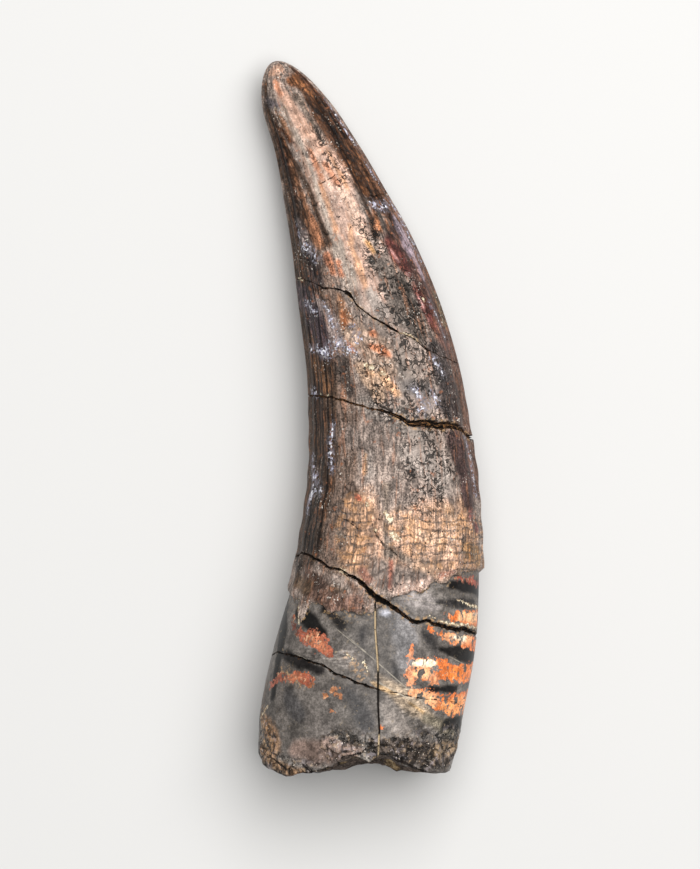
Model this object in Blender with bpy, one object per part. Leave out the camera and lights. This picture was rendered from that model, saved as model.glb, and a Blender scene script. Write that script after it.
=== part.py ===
"""A fossil theropod tooth, lying on its side on a small flat spot.

The tooth is one solid. Its tip points along +Y, its convex edge faces +X and its upper flank faces +Z.
Level oval sections are stacked along Y, and a place on them is given by two numbers. "along" is the
section's Y in millimetres. "turn" goes round the section in degrees: 0 is the convex edge, 90 is the top
of the upper flank, 180 is the concave edge and 270 is the underside. The rows of the mesh bend to follow
the cracks across the tooth, and its columns lean to follow the crack that runs up the root.
"""

from dataclasses import dataclass

import bpy
import numpy as np

NAME = "tooth"
MILLIMETRE = 0.001

# The form, in millimetres. Each section is given as its along, the middle of its width, its half width,
# its half depth and the height of its underside before the flat spot is worn.
SECTIONS = (
    (-37.5, -1.60, 10.30, 8.00, 0.50),
    (-31.0, -0.95, 10.85, 8.50, -0.36),
    (-24.0, 0.38, 10.80, 8.50, -0.42),
    (-15.0, 1.93, 9.65, 7.80, -0.20),
    (-6.0, 2.32, 8.65, 7.05, -0.18),
    (3.0, 1.67, 7.90, 6.35, -0.15),
    (12.0, -0.10, 7.15, 5.65, -0.02),
    (20.0, -2.35, 5.90, 4.65, 0.30),
    (28.0, -5.45, 4.35, 3.45, 0.80),
    (37.6, -9.70, 2.85, 2.30, 1.70),
)
TIP_ALONG = 37.6
NOSE_LENGTH = 6.5

# The long ridges of the crown, and the cutting ridge on each of its two edges.
FLUTE_COUNT = 21
FLUTE_HEIGHT = 0.17
FLUTE_ON_FLANK = 0.35
CARINA_HEIGHT = 0.30
CARINA_SPREAD = 5.0
BAND_PITCH = 3.2
BAND_HEIGHT = 0.05
LUMP_SIZE = 5.5
LUMP_HEIGHT = 0.13

# The root lies this much lower than the enamel. Its torn lower border is given as turn and along.
ENAMEL_STEP = 0.24
ENAMEL_SLOPE = 0.9
ENAMEL_BORDER = (
    (15, -15.7),
    (46, -16.5),
    (60, -17.1),
    (69, -18.1),
    (85, -18.5),
    (103, -20.1),
    (121, -20.1),
    (132, -19.0),
    (139, -21.0),
    (149, -18.9),
    (163, -18.7),
    (195, -17.6),
    (230, -19.4),
    (262, -18.2),
    (300, -20.0),
    (335, -17.2),
)

# The broken lower rim of the root, as turn and along.
BROKEN_RIM = (
    (0, -34.8),
    (14, -36.6),
    (30, -36.8),
    (48, -36.4),
    (62, -35.7),
    (70, -34.9),
    (78, -34.6),
    (83, -35.6),
    (90, -34.7),
    (97, -34.6),
    (104, -36.0),
    (118, -36.6),
    (135, -36.9),
    (155, -36.3),
    (170, -35.2),
    (180, -34.4),
    (190, -35.4),
    (205, -36.0),
    (225, -36.8),
    (248, -37.4),
    (268, -36.4),
    (285, -36.4),
    (300, -36.8),
    (318, -37.3),
    (332, -37.3),
    (345, -36.5),
)
BREAK_GRIT = 0.28
BREAK_REACH = 5.0

# The broken end inside the rim, as rings. Each has its share of the way out from the middle, and how much
# shallower it lies than the rim: a thick wall, then the fill of the pulp cavity.
BREAK_RINGS = ((0.86, 0.25), (0.60, 0.60), (0.50, 2.00), (0.25, 1.60))
BREAK_BLUR = 26
BREAK_ROUGHNESS = 0.55

# The crack that runs up the root, as along and turn.
ROOT_SPLIT = ((-34.9, 78), (-32.2, 79), (-29.6, 82), (-25.9, 86), (-21.7, 92), (-19.0, 95))
ROOT_SPLIT_HALF_TURN = 2.0
ROOT_SPLIT_DEPTH = 0.30

# A worn facet cuts the tip off: a point on it, and the way that it faces.
TIP_FACET_POINT = (-10.2, 36.7, 5.6)
TIP_FACET_FACING = (-0.45, 0.55, 0.70)

# How fine the mesh is: columns round the tooth, and rows between one crack and the next, root to tip.
COLUMNS = 84
ROWS_BETWEEN = (7, 4, 11, 6, 13)
TIP_ROW_CROWDING = 1.6
SMOOTH_ANGLE = 32.0

# Cracks jag up and down by this much, on noise read along a circle of this size.
JAG_HEIGHT = 0.16
JAG_CIRCLE = 6.5

TOOTH_COLOUR = (0.075, 0.046, 0.034, 1.0)
TOOTH_ROUGHNESS = 0.42


@dataclass(frozen=True)
class Crack:
    """A crack right across the tooth, as (turn, along, half width, depth) at each bend of its path."""

    bends: tuple

    def column(self, turn, index):
        """One of the four values of a bend, drawn straight from bend to bend all the way round."""
        bends = np.array(sorted(self.bends), float)
        return np.interp(turn, bends[:, 0], bends[:, index], period=360.0)

    def along(self, turn):
        """The path, with small jags between its bends."""
        circle = JAG_CIRCLE * np.stack([np.cos(np.radians(turn)), np.sin(np.radians(turn))], axis=-1)
        level = np.full(np.shape(turn) + (1,), self.bends[0][1])
        return self.column(turn, 1) + JAG_HEIGHT * lumps(np.concatenate([circle, level], axis=-1), 1.0, 2)

    def half_width(self, turn):
        return self.column(turn, 2)

    def depth(self, turn, along):
        """A groove with a V profile, deepest on the path itself."""
        side = np.abs(along - self.along(turn)) / self.half_width(turn)
        return self.column(turn, 3) * np.clip(1.0 - side, 0.0, 1.0)


# From the root to the tip. The bends past 180 are on the hidden flank.
ROOT_CRACK = Crack(
    (
        (161, -24.2, 0.22, 0.12),
        (131, -24.9, 0.22, 0.22),
        (120, -25.4, 0.22, 0.26),
        (110, -26.2, 0.22, 0.26),
        (97, -27.2, 0.22, 0.24),
        (85, -27.9, 0.22, 0.16),
        (60, -28.6, 0.22, 0.0),
        (10, -30.0, 0.22, 0.0),
        (310, -30.4, 0.22, 0.10),
        (250, -28.6, 0.22, 0.22),
        (205, -25.6, 0.22, 0.16),
    )
)
LOWER_CRACK = Crack(
    (
        (168, -14.1, 0.20, 0.20),
        (151, -14.1, 0.20, 0.30),
        (133, -15.2, 0.20, 0.36),
        (122, -15.6, 0.24, 0.45),
        (109, -16.7, 0.26, 0.55),
        (100, -17.9, 0.36, 0.75),
        (92, -18.8, 0.40, 0.80),
        (84, -19.5, 0.26, 0.65),
        (77, -20.2, 0.24, 0.60),
        (70, -21.0, 0.24, 0.60),
        (62, -20.8, 0.26, 0.55),
        (46, -21.8, 0.30, 0.55),
        (33, -21.9, 0.30, 0.55),
        (10, -22.5, 0.28, 0.50),
        (345, -23.3, 0.24, 0.40),
        (312, -22.8, 0.24, 0.36),
        (282, -21.6, 0.24, 0.40),
        (252, -19.0, 0.24, 0.36),
        (220, -16.6, 0.22, 0.30),
        (190, -14.9, 0.20, 0.24),
    )
)
BELLY_CRACK = Crack(
    (
        (168, 2.3, 0.20, 0.26),
        (140, 2.2, 0.20, 0.34),
        (119, 1.6, 0.22, 0.40),
        (107, 0.9, 0.24, 0.45),
        (98, 1.4, 0.24, 0.45),
        (84, 0.2, 0.32, 0.65),
        (77, -0.5, 0.40, 0.75),
        (62, -0.6, 0.46, 0.80),
        (46, -0.7, 0.46, 0.80),
        (29, -0.9, 0.42, 0.70),
        (14, -1.9, 0.32, 0.40),
        (350, -2.2, 0.26, 0.34),
        (322, -1.4, 0.24, 0.34),
        (292, 0.1, 0.24, 0.36),
        (255, 1.3, 0.24, 0.30),
        (215, 2.4, 0.20, 0.24),
    )
)
UPPER_CRACK = Crack(
    (
        (164, 14.5, 0.18, 0.10),
        (139, 13.7, 0.20, 0.30),
        (109, 13.2, 0.22, 0.36),
        (103, 12.3, 0.44, 0.60),
        (98, 11.5, 0.26, 0.45),
        (88, 10.2, 0.22, 0.42),
        (72, 8.7, 0.22, 0.40),
        (63, 8.4, 0.24, 0.34),
        (54, 7.5, 0.20, 0.30),
        (37, 6.5, 0.20, 0.26),
        (8, 5.8, 0.20, 0.16),
        (330, 6.6, 0.20, 0.10),
        (285, 9.8, 0.20, 0.20),
        (240, 12.9, 0.20, 0.16),
        (200, 14.4, 0.20, 0.06),
    )
)
CRACKS = (ROOT_CRACK, LOWER_CRACK, BELLY_CRACK, UPPER_CRACK)


def section(along, index):
    """A value of SECTIONS at any along: cubic Hermite curves, with the slope at each section from its
    neighbours."""
    table = np.array(SECTIONS)
    stops, values = table[:, 0], table[:, index]
    slopes = np.gradient(values, stops)
    lower = np.clip(np.searchsorted(stops, along) - 1, 0, len(stops) - 2)
    gap = stops[lower + 1] - stops[lower]
    t = (along - stops[lower]) / gap
    from_lower = (1 + 2 * t) * (1 - t) ** 2 * values[lower] + t * (1 - t) ** 2 * gap * slopes[lower]
    from_upper = t**2 * (3 - 2 * t) * values[lower + 1] - t**2 * (1 - t) * gap * slopes[lower + 1]
    return from_lower + from_upper


def round_the_tip(along):
    """1 on the body of the tooth, falling to 0 at the tip as a quarter of an ellipse."""
    past = np.clip((TIP_ALONG - along) / NOSE_LENGTH, 0.0, 1.0)
    return np.sqrt(1.0 - (1.0 - past) ** 2)


def ramp(value, start, end):
    """0 before start and 1 after end, with a smooth rise between."""
    t = np.clip((value - start) / (end - start), 0.0, 1.0)
    return t * t * (3.0 - 2.0 * t)


def around(turn, points):
    """A closed line of (turn, value) points, straight from point to point."""
    points = np.array(sorted(points), float)
    return np.interp(turn, points[:, 0], points[:, 1], period=360.0)


def lumps(places, size, seed):
    """Smooth noise from -1 to 1: random values on a cubic lattice of this size, blended between its
    corners."""
    corners = np.random.default_rng(seed).uniform(-1.0, 1.0, (24, 24, 24))
    scaled = places / size
    cell = np.floor(scaled).astype(int)
    blend = scaled - cell
    blend = blend * blend * (3.0 - 2.0 * blend)
    total = np.zeros(places.shape[:-1])
    for corner in np.ndindex(2, 2, 2):
        x, y, z = np.moveaxis((cell + corner) % 24, -1, 0)
        weight = np.prod(np.where(np.array(corner) == 1, blend, 1.0 - blend), axis=-1)
        total += weight * corners[x, y, z]
    return total


def plain_surface(turn, along, inset=1.0):
    """Points of the bare sections in millimetres. An inset under 1 is that share of the way out from
    the middle."""
    reach = inset * round_the_tip(along)
    half_depth = section(along, 3)
    across = section(along, 1) + reach * section(along, 2) * np.cos(np.radians(turn))
    middle = section(along, 4) + half_depth
    height = middle + reach * half_depth * np.sin(np.radians(turn))
    return np.stack([across, along, height], axis=-1)


def outward(turn, along):
    """The way out of each section, square to its oval."""
    across = np.cos(np.radians(turn)) / section(along, 2)
    height = np.sin(np.radians(turn)) / section(along, 3)
    length = np.hypot(across, height)
    return np.stack([across / length, np.zeros_like(across), height / length], axis=-1)


def relief(turn, along, places):
    """How far the surface stands out from the bare sections, in millimetres."""
    enamel = ramp(along - around(turn, ENAMEL_BORDER), 0.0, ENAMEL_SLOPE)
    from_edge = np.minimum(np.abs((turn + 180.0) % 360.0 - 180.0), np.abs(turn % 360.0 - 180.0))
    carina = CARINA_HEIGHT * np.exp(-((from_edge / CARINA_SPREAD) ** 2))
    flute = 0.5 * FLUTE_HEIGHT * np.cos(np.radians(FLUTE_COUNT * (turn - ROOT_SPLIT[-1][1])))
    flute = flute * ramp(from_edge, CARINA_SPREAD, 3 * CARINA_SPREAD)
    worn = ramp(from_edge, 40.0, 65.0) * ramp(along, 26.0, 14.0)
    flute = flute * (1.0 - (1.0 - FLUTE_ON_FLANK) * worn)
    band = BAND_HEIGHT * np.sin(2 * np.pi * along / BAND_PITCH) * ramp(along, 6.0, -4.0)
    out = enamel * (carina + flute + band) - (1.0 - enamel) * ENAMEL_STEP
    out = out + LUMP_HEIGHT * lumps(places, LUMP_SIZE, seed=3)
    near_break = ramp(along, BROKEN_RIM[0][1] + BREAK_REACH, BROKEN_RIM[0][1])
    out = out + BREAK_GRIT * near_break * lumps(places, 1.7, seed=5)
    split_turn = np.interp(along, *np.array(ROOT_SPLIT, float).T)
    split = np.clip(1.0 - np.abs(turn - split_turn) / ROOT_SPLIT_HALF_TURN, 0.0, 1.0)
    out = out - ROOT_SPLIT_DEPTH * split * ramp(along, ROOT_SPLIT[-1][0] + 0.8, ROOT_SPLIT[-1][0])
    for crack in CRACKS:
        out = out - crack.depth(turn, along)
    return out * round_the_tip(along)


def wear_flat(points, on_plane, facing):
    """Points that stand past a plane are pushed back onto it."""
    facing = np.array(facing, float) / np.linalg.norm(facing)
    past = np.maximum((points - on_plane) @ facing, 0.0)
    return points - past[..., None] * facing


def row_lines():
    """The rows of the mesh from the rim to the last ring at the tip, each as a function of the turn.
    Three rows follow each crack, and the rest are spread evenly between."""
    lines = [lambda turn: around(turn, BROKEN_RIM)]
    for crack, count in zip(CRACKS, ROWS_BETWEEN):
        lower = lines[-1]

        def lip(turn, side, crack=crack):
            return crack.along(turn) + side * crack.half_width(turn)

        for step in range(1, count + 1):
            share = step / (count + 1)
            lines.append(
                lambda turn, lower=lower, lip=lip, share=share: (1 - share) * lower(turn)
                + share * lip(turn, -1)
            )
        for side in (-1, 0, 1):
            lines.append(lambda turn, lip=lip, side=side: lip(turn, side))
    lower = lines[-1]
    for step in range(1, ROWS_BETWEEN[-1] + 1):
        left = (1 - step / (ROWS_BETWEEN[-1] + 1)) ** TIP_ROW_CROWDING
        lines.append(
            lambda turn, lower=lower, left=left: TIP_ALONG - left * (TIP_ALONG - lower(turn))
        )
    return lines


def column_turns():
    """Turns of the columns, measured from the crack up the root, with a column on each of its lips."""
    lip = ROOT_SPLIT_HALF_TURN
    return np.concatenate([[0.0], np.linspace(lip, 360.0 - lip, COLUMNS - 1)])


def side_points():
    """The wall of the tooth as a grid of points, row by row from the rim to the tip."""
    rows = []
    for line in row_lines():
        usual = float(np.mean(line(np.arange(0.0, 360.0, 10.0))))
        turn = column_turns() + np.interp(usual, *np.array(ROOT_SPLIT, float).T)
        along = line(turn)
        bare = plain_surface(turn, along)
        rows.append(bare + relief(turn, along, bare)[:, None] * outward(turn, along))
    return np.array(rows)


def break_points(rim):
    """The rough broken end inside the rim: rings of points, and the point in the middle of them. Towards
    the middle the jags of the rim are averaged out over more and more of its columns."""
    middle = rim.mean(axis=0)
    rings = []
    for share, rise in BREAK_RINGS:
        reach = round(BREAK_BLUR * (1.0 - share))
        blurred = np.mean([np.roll(rim[:, 1], step) for step in range(-reach, reach + 1)], axis=0)
        ring = middle + share * (rim - middle)
        ring[:, 1] = blurred + rise
        ring[:, 1] += BREAK_ROUGHNESS * lumps(ring, 2.4, seed=11)
        rings.append(ring)
    middle[1] += BREAK_RINGS[-1][1]
    return np.array(rings), middle


def tooth_mesh():
    """The closed mesh: the wall, a point at the tip and the broken end."""
    wall = side_points()
    rings, hollow = break_points(wall[0])
    grid = np.concatenate([rings[::-1], wall])
    tip = plain_surface(np.zeros(1), np.full(1, TIP_ALONG))[0]
    points = np.concatenate([grid.reshape(-1, 3), [hollow, tip]])
    points = wear_flat(points, TIP_FACET_POINT, TIP_FACET_FACING)
    points = wear_flat(points, (0.0, 0.0, 0.0), (0.0, 0.0, -1.0))
    points[:, :2] -= 0.5 * (points[:, :2].max(axis=0) + points[:, :2].min(axis=0))
    rows = len(grid)
    index = np.arange(rows * COLUMNS).reshape(rows, COLUMNS)
    following = np.roll(index, -1, axis=1)
    quads = np.stack([index[:-1], index[1:], following[1:], following[:-1]], axis=-1)
    hollow_index, tip_index = rows * COLUMNS, rows * COLUMNS + 1
    faces = [tuple(quad) for quad in quads.reshape(-1, 4).tolist()]
    faces += [(hollow_index, a, b) for a, b in zip(index[0].tolist(), following[0].tolist())]
    faces += [(tip_index, b, a) for a, b in zip(index[-1].tolist(), following[-1].tolist())]
    mesh = bpy.data.meshes.new(NAME)
    mesh.from_pydata((points * MILLIMETRE).tolist(), [], faces)
    mesh.validate()
    mesh.shade_smooth()
    mesh.set_sharp_from_angle(angle=np.radians(SMOOTH_ANGLE))
    return mesh


def fossil_material():
    """Dark brown mineralised enamel with a low polish."""
    material = bpy.data.materials.new("fossil enamel")
    material.use_nodes = True
    shader = material.node_tree.nodes["Principled BSDF"]
    shader.inputs["Base Color"].default_value = TOOTH_COLOUR
    shader.inputs["Roughness"].default_value = TOOTH_ROUGHNESS
    shader.inputs["Metallic"].default_value = 0.0
    return material


def clear_scene():
    for leftover in list(bpy.data.objects):
        bpy.data.objects.remove(leftover, do_unlink=True)


def main():
    clear_scene()
    collection = bpy.data.collections.new("fossil tooth")
    bpy.context.scene.collection.children.link(collection)
    tooth = bpy.data.objects.new(NAME, tooth_mesh())
    tooth.data.materials.append(fossil_material())
    collection.objects.link(tooth)


main()
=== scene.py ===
"""A fossil theropod tooth lying on its side, seen from straight above in plain studio light.

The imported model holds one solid, the tooth. This script lays a fine surface over the same form. Level oval
sections are stacked along Y, and a place on them is given by two numbers: "along" is the section's Y in
millimetres, and "turn" goes round the section in degrees, where 0 is the convex edge, 90 the top of the upper
flank, 180 the concave edge and 270 the underside. Cracks, mineral patches and crusts are strokes in those two
numbers, with sizes in millimetres on the surface.
"""

import logging
from collections.abc import Callable
from dataclasses import dataclass
from enum import Enum
from functools import partial

import bpy
import numpy as np
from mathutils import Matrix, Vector

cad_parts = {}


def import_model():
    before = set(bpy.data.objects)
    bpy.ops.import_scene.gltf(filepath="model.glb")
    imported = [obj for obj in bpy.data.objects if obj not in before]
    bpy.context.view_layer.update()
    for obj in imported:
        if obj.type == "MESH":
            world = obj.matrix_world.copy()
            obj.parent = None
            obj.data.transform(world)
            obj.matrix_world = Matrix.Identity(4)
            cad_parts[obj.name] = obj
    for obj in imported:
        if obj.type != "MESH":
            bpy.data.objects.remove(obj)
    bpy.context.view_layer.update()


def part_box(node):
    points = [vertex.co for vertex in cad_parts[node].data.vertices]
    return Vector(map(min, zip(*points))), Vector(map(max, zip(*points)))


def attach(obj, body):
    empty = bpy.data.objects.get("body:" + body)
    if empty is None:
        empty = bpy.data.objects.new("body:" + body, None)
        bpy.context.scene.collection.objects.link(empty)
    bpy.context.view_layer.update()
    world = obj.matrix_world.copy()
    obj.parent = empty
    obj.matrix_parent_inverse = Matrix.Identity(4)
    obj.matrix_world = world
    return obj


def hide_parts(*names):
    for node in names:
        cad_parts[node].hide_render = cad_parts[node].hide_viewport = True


LOG = logging.getLogger("fossil tooth")
MILLIMETRE = 0.001
TURN = 360.0
MIX = "ShaderNodeMix"
NOISE = "ShaderNodeTexNoise"
RAMP = "ShaderNodeMapRange"
# No marking measures further out from its edge than this, in mm.
DEPTH_FLOOR = -3.0
Socket = bpy.types.NodeSocket


def linear_colour(hex_code: str) -> tuple[float, float, float, float]:
    """Turn an sRGB hex value into linear light.

    Args:
        hex_code: Six hex digits, two for each of red, green and blue.

    Returns:
        Linear red, green, blue and an alpha of 1. Each channel c becomes ((c + 0.055) / 1.055) to the
        power 2.4, or c / 12.92 in the darkest tones.
    """
    channels = np.array([int(hex_code[i : i + 2], 16) / 255.0 for i in (0, 2, 4)])
    light = np.where(channels > 0.04045, ((channels + 0.055) / 1.055) ** 2.4, channels / 12.92)
    return (*light.tolist(), 1.0)


def ramp(value: np.ndarray, start: float, end: float) -> np.ndarray:
    """Rise smoothly from 0 at start to 1 at end.

    Args:
        value: Values to read the ramp at.
        start: Where the ramp is 0.
        end: Where the ramp is 1.

    Returns:
        t * t * (3 - 2 t), with t the share of the way from start to end.
    """
    t = np.clip((value - start) / (end - start), 0.0, 1.0)
    return t * t * (3.0 - 2.0 * t)


def around(turn: np.ndarray, points: tuple) -> np.ndarray:
    """Read a closed line that runs round the tooth.

    Args:
        turn: Turns in degrees.
        points: Pairs of turn and value, joined by straight lines and closed on itself.

    Returns:
        The line's value at each turn.
    """
    table = np.array(sorted(points), float)
    return np.interp(turn, table[:, 0], table[:, 1], period=TURN)


def lumps(places: np.ndarray, size: float, seed: int) -> np.ndarray:
    """Smooth noise from -1 to 1.

    Args:
        places: Points in millimetres, with X, Y and Z in the last axis.
        size: Size of a lump in millimetres.
        seed: Which noise.

    Returns:
        Random values on a cubic lattice, blended between the eight corners of each cell by
        t * t * (3 - 2 t) along each axis.
    """
    corners = np.random.default_rng(seed).uniform(-1.0, 1.0, (24, 24, 24))
    scaled = places / size
    cell = np.floor(scaled).astype(int)
    blend = scaled - cell
    blend = blend * blend * (3.0 - 2.0 * blend)
    total = np.zeros(places.shape[:-1])
    for corner in np.ndindex(2, 2, 2):
        x, y, z = np.moveaxis((cell + corner) % 24, -1, 0)
        weight = np.prod(np.where(np.array(corner) == 1, blend, 1.0 - blend), axis=-1)
        total += weight * corners[x, y, z]
    return total


def layered(places: np.ndarray, layers: tuple) -> np.ndarray:
    """Add up lumps, each layer with its height, its size in millimetres and which noise."""
    return sum(height * lumps(places, size, seed) for height, size, seed in layers)


def wear_flat(points: np.ndarray, on_plane: tuple, facing: tuple) -> np.ndarray:
    """Push points that stand past a plane back onto it.

    Args:
        points: Points in millimetres.
        on_plane: A point of the plane.
        facing: The way out of the plane.

    Returns:
        The points, each less its distance past the plane along the way out.
    """
    way_out = np.array(facing, float) / np.linalg.norm(facing)
    past = np.maximum((points - np.array(on_plane)) @ way_out, 0.0)
    return points - past[..., None] * way_out


def grid_mesh(name: str, points: np.ndarray, rows: int, columns: int) -> bpy.types.Mesh:
    """Close a grid of points into a mesh.

    Args:
        name: The mesh's name.
        points: The grid row by row, then a point that closes the first row and one that closes the last.
        rows: How many rows the grid has.
        columns: How many columns it has. The last column joins the first.

    Returns:
        A smooth mesh of quads between the rows, with a fan of triangles at each end, facing out.
    """
    index = np.arange(rows * columns).reshape(rows, columns)
    following = np.roll(index, -1, axis=1)
    quads = np.stack([index[:-1], index[1:], following[1:], following[:-1]], axis=-1).reshape(-1, 4)
    first_pole, last_pole = rows * columns, rows * columns + 1
    start = np.stack([np.full(columns, first_pole), index[0], following[0]], axis=-1)
    end = np.stack([np.full(columns, last_pole), following[-1], index[-1]], axis=-1)
    mesh = bpy.data.meshes.new(name)
    mesh.from_pydata(points.tolist(), [], quads.tolist() + start.tolist() + end.tolist())
    mesh.validate()
    mesh.shade_smooth()
    return mesh


def store(mesh: bpy.types.Mesh, name: str, kind: str, values: np.ndarray) -> None:
    """Keep a value on every point of a mesh.

    Args:
        mesh: The mesh.
        name: The attribute's name, which the materials read.
        kind: FLOAT, FLOAT_VECTOR or FLOAT_COLOR.
        values: One value for each point, in the mesh's order.
    """
    socket = {"FLOAT": "value", "FLOAT_VECTOR": "vector", "FLOAT_COLOR": "color"}[kind]
    attribute = mesh.attributes.new(name, kind, "POINT")
    attribute.data.foreach_set(socket, np.ascontiguousarray(values, dtype=np.float32).ravel())


@dataclass(frozen=True)
class Sections:
    """The bare oval sections of the tooth, in millimetres."""

    # Along, middle of the width, half width, half depth, and height of the underside.
    stations: tuple = (
        (-37.5, -1.6, 10.3, 8.0, 0.5),
        (-31.0, -0.95, 10.85, 8.5, -0.36),
        (-24.0, 0.38, 10.8, 8.5, -0.42),
        (-15.0, 1.93, 9.65, 7.8, -0.2),
        (-6.0, 2.32, 8.65, 7.05, -0.18),
        (3.0, 1.67, 7.9, 6.35, -0.15),
        (12.0, -0.1, 7.15, 5.65, -0.02),
        (20.0, -2.35, 5.9, 4.65, 0.3),
        (28.0, -5.45, 4.35, 3.45, 0.8),
        (37.6, -9.7, 2.85, 2.3, 1.7),
    )
    tip_along: float = 37.6
    nose_length: float = 6.5

    def value(self, along: np.ndarray, column: int) -> np.ndarray:
        """Read a column of the stations at any along.

        Args:
            along: Places along the tooth.
            column: 1 for the middle, 2 for the half width, 3 for the half depth, 4 for the underside.

        Returns:
            Cubic Hermite curves through the stations, whose slopes come from their neighbours.
        """
        table = np.array(self.stations)
        stops, values = table[:, 0], table[:, column]
        slopes = np.gradient(values, stops)
        lower = np.clip(np.searchsorted(stops, along) - 1, 0, len(stops) - 2)
        gap = stops[lower + 1] - stops[lower]
        t = (along - stops[lower]) / gap
        from_lower = (1 + 2 * t) * (1 - t) ** 2 * values[lower] + t * (1 - t) ** 2 * gap * slopes[lower]
        from_upper = t**2 * (3 - 2 * t) * values[lower + 1] - t**2 * (1 - t) * gap * slopes[lower + 1]
        return from_lower + from_upper

    def round_the_tip(self, along: np.ndarray) -> np.ndarray:
        """1 on the body, falling to 0 at the tip as a quarter of an ellipse."""
        past = np.clip((self.tip_along - along) / self.nose_length, 0.0, 1.0)
        return np.sqrt(1.0 - (1.0 - past) ** 2)

    def points(self, turn: np.ndarray, along: np.ndarray) -> np.ndarray:
        """Points of the bare sections.

        Args:
            turn: Turns in degrees.
            along: Places along the tooth.

        Returns:
            X as the middle plus half width times cos(turn), Y as the along, and Z as the underside plus
            half depth times 1 + sin(turn), all drawn in towards the middle where the tip rounds off.
        """
        reach = self.round_the_tip(along)
        depth = self.value(along, 3)
        across = self.value(along, 1) + reach * self.value(along, 2) * np.cos(np.radians(turn))
        height = self.value(along, 4) + depth + reach * depth * np.sin(np.radians(turn))
        return np.stack([across, along, height], axis=-1)

    def outward(self, turn: np.ndarray, along: np.ndarray) -> np.ndarray:
        """The way out of each oval section, square to it and of length 1."""
        across = np.cos(np.radians(turn)) / self.value(along, 2)
        height = np.sin(np.radians(turn)) / self.value(along, 3)
        length = np.hypot(across, height)
        return np.stack([across / length, np.zeros_like(across), height / length], axis=-1)

    def straightened(self, turn: np.ndarray, along: np.ndarray) -> np.ndarray:
        """The bare points with the bend taken out, so that what runs along the tooth runs along Y."""
        points = self.points(turn, along)
        points[..., 0] -= self.value(along, 1)
        points[..., 2] -= self.value(along, 4) + self.value(along, 3)
        return points


def inside_strokes(strokes: tuple | list, form: Sections, turn: np.ndarray, along: np.ndarray) -> np.ndarray:
    """Measure how far inside a group of brush strokes each place lies.

    Args:
        strokes: Each stroke has (turn, along, half width in mm) at each of its bends.
        form: The sections that the strokes lie on.
        turn: Turns in degrees.
        along: Places along the tooth.

    Returns:
        Millimetres inside whichever stroke holds the place best, negative outside: the half width,
        blended along each straight piece of a stroke, less the distance to that piece.
    """
    best = np.full(np.shape(turn), -np.inf)
    for stroke in strokes:
        bends = stroke if len(stroke) > 1 else stroke * 2
        for (turn_a, along_a, half_a), (turn_b, along_b, half_b) in zip(bends[:-1], bends[1:]):
            middle = 0.5 * (along_a + along_b)
            millimetres = float(form.value(np.array(middle), 2)) * np.pi / 180.0
            x = ((turn - turn_a + 180.0) % TURN - 180.0) * millimetres
            y = along - along_a
            dx = ((turn_b - turn_a + 180.0) % TURN - 180.0) * millimetres
            dy = along_b - along_a
            length_squared = max(dx * dx + dy * dy, 1e-9)
            share = np.clip((x * dx + y * dy) / length_squared, 0.0, 1.0)
            distance = np.hypot(x - share * dx, y - share * dy)
            best = np.maximum(best, half_a + share * (half_b - half_a) - distance)
    return best


@dataclass(frozen=True)
class Crack:
    """A crack right across the tooth: (turn, along, half width, depth) at each of its bends, in mm."""

    bends: tuple
    # Coarse and fine jags: height and size in mm, and which noise. They are read on a circle this wide.
    jags: tuple = ((0.16, 1.0, 2), (0.07, 0.3, 4))
    jag_circle: float = 6.5
    wall_steepness: float = 2.6

    def column(self, turn: np.ndarray, index: int) -> np.ndarray:
        """One of the values of a bend, straight from bend to bend all the way round."""
        bends = np.array(sorted(self.bends), float)
        return np.interp(turn, bends[:, 0], bends[:, index], period=TURN)

    def along(self, turn: np.ndarray) -> np.ndarray:
        """The path, with coarse and fine jags between its bends."""
        circle = self.jag_circle * np.stack([np.cos(np.radians(turn)), np.sin(np.radians(turn))], axis=-1)
        level = np.full(np.shape(turn) + (1,), self.bends[0][1])
        return self.column(turn, 1) + layered(np.concatenate([circle, level], axis=-1), self.jags)

    def beside(self, side: float, turn: np.ndarray) -> np.ndarray:
        """A line beside the path, this many half widths towards the tip."""
        return self.along(turn) + side * self.column(turn, 2)

    def side(self, turn: np.ndarray, along: np.ndarray) -> np.ndarray:
        """Distance from the path in half widths: 0 on the path and 1 at a lip."""
        return (along - self.along(turn)) / self.column(turn, 2)

    def depth(self, turn: np.ndarray, along: np.ndarray) -> np.ndarray:
        """How deep the crack is: steep walls down to a floor."""
        wall = np.clip((1.0 - np.abs(self.side(turn, along))) * self.wall_steepness, 0.0, 1.0)
        return self.column(turn, 3) * wall


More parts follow.
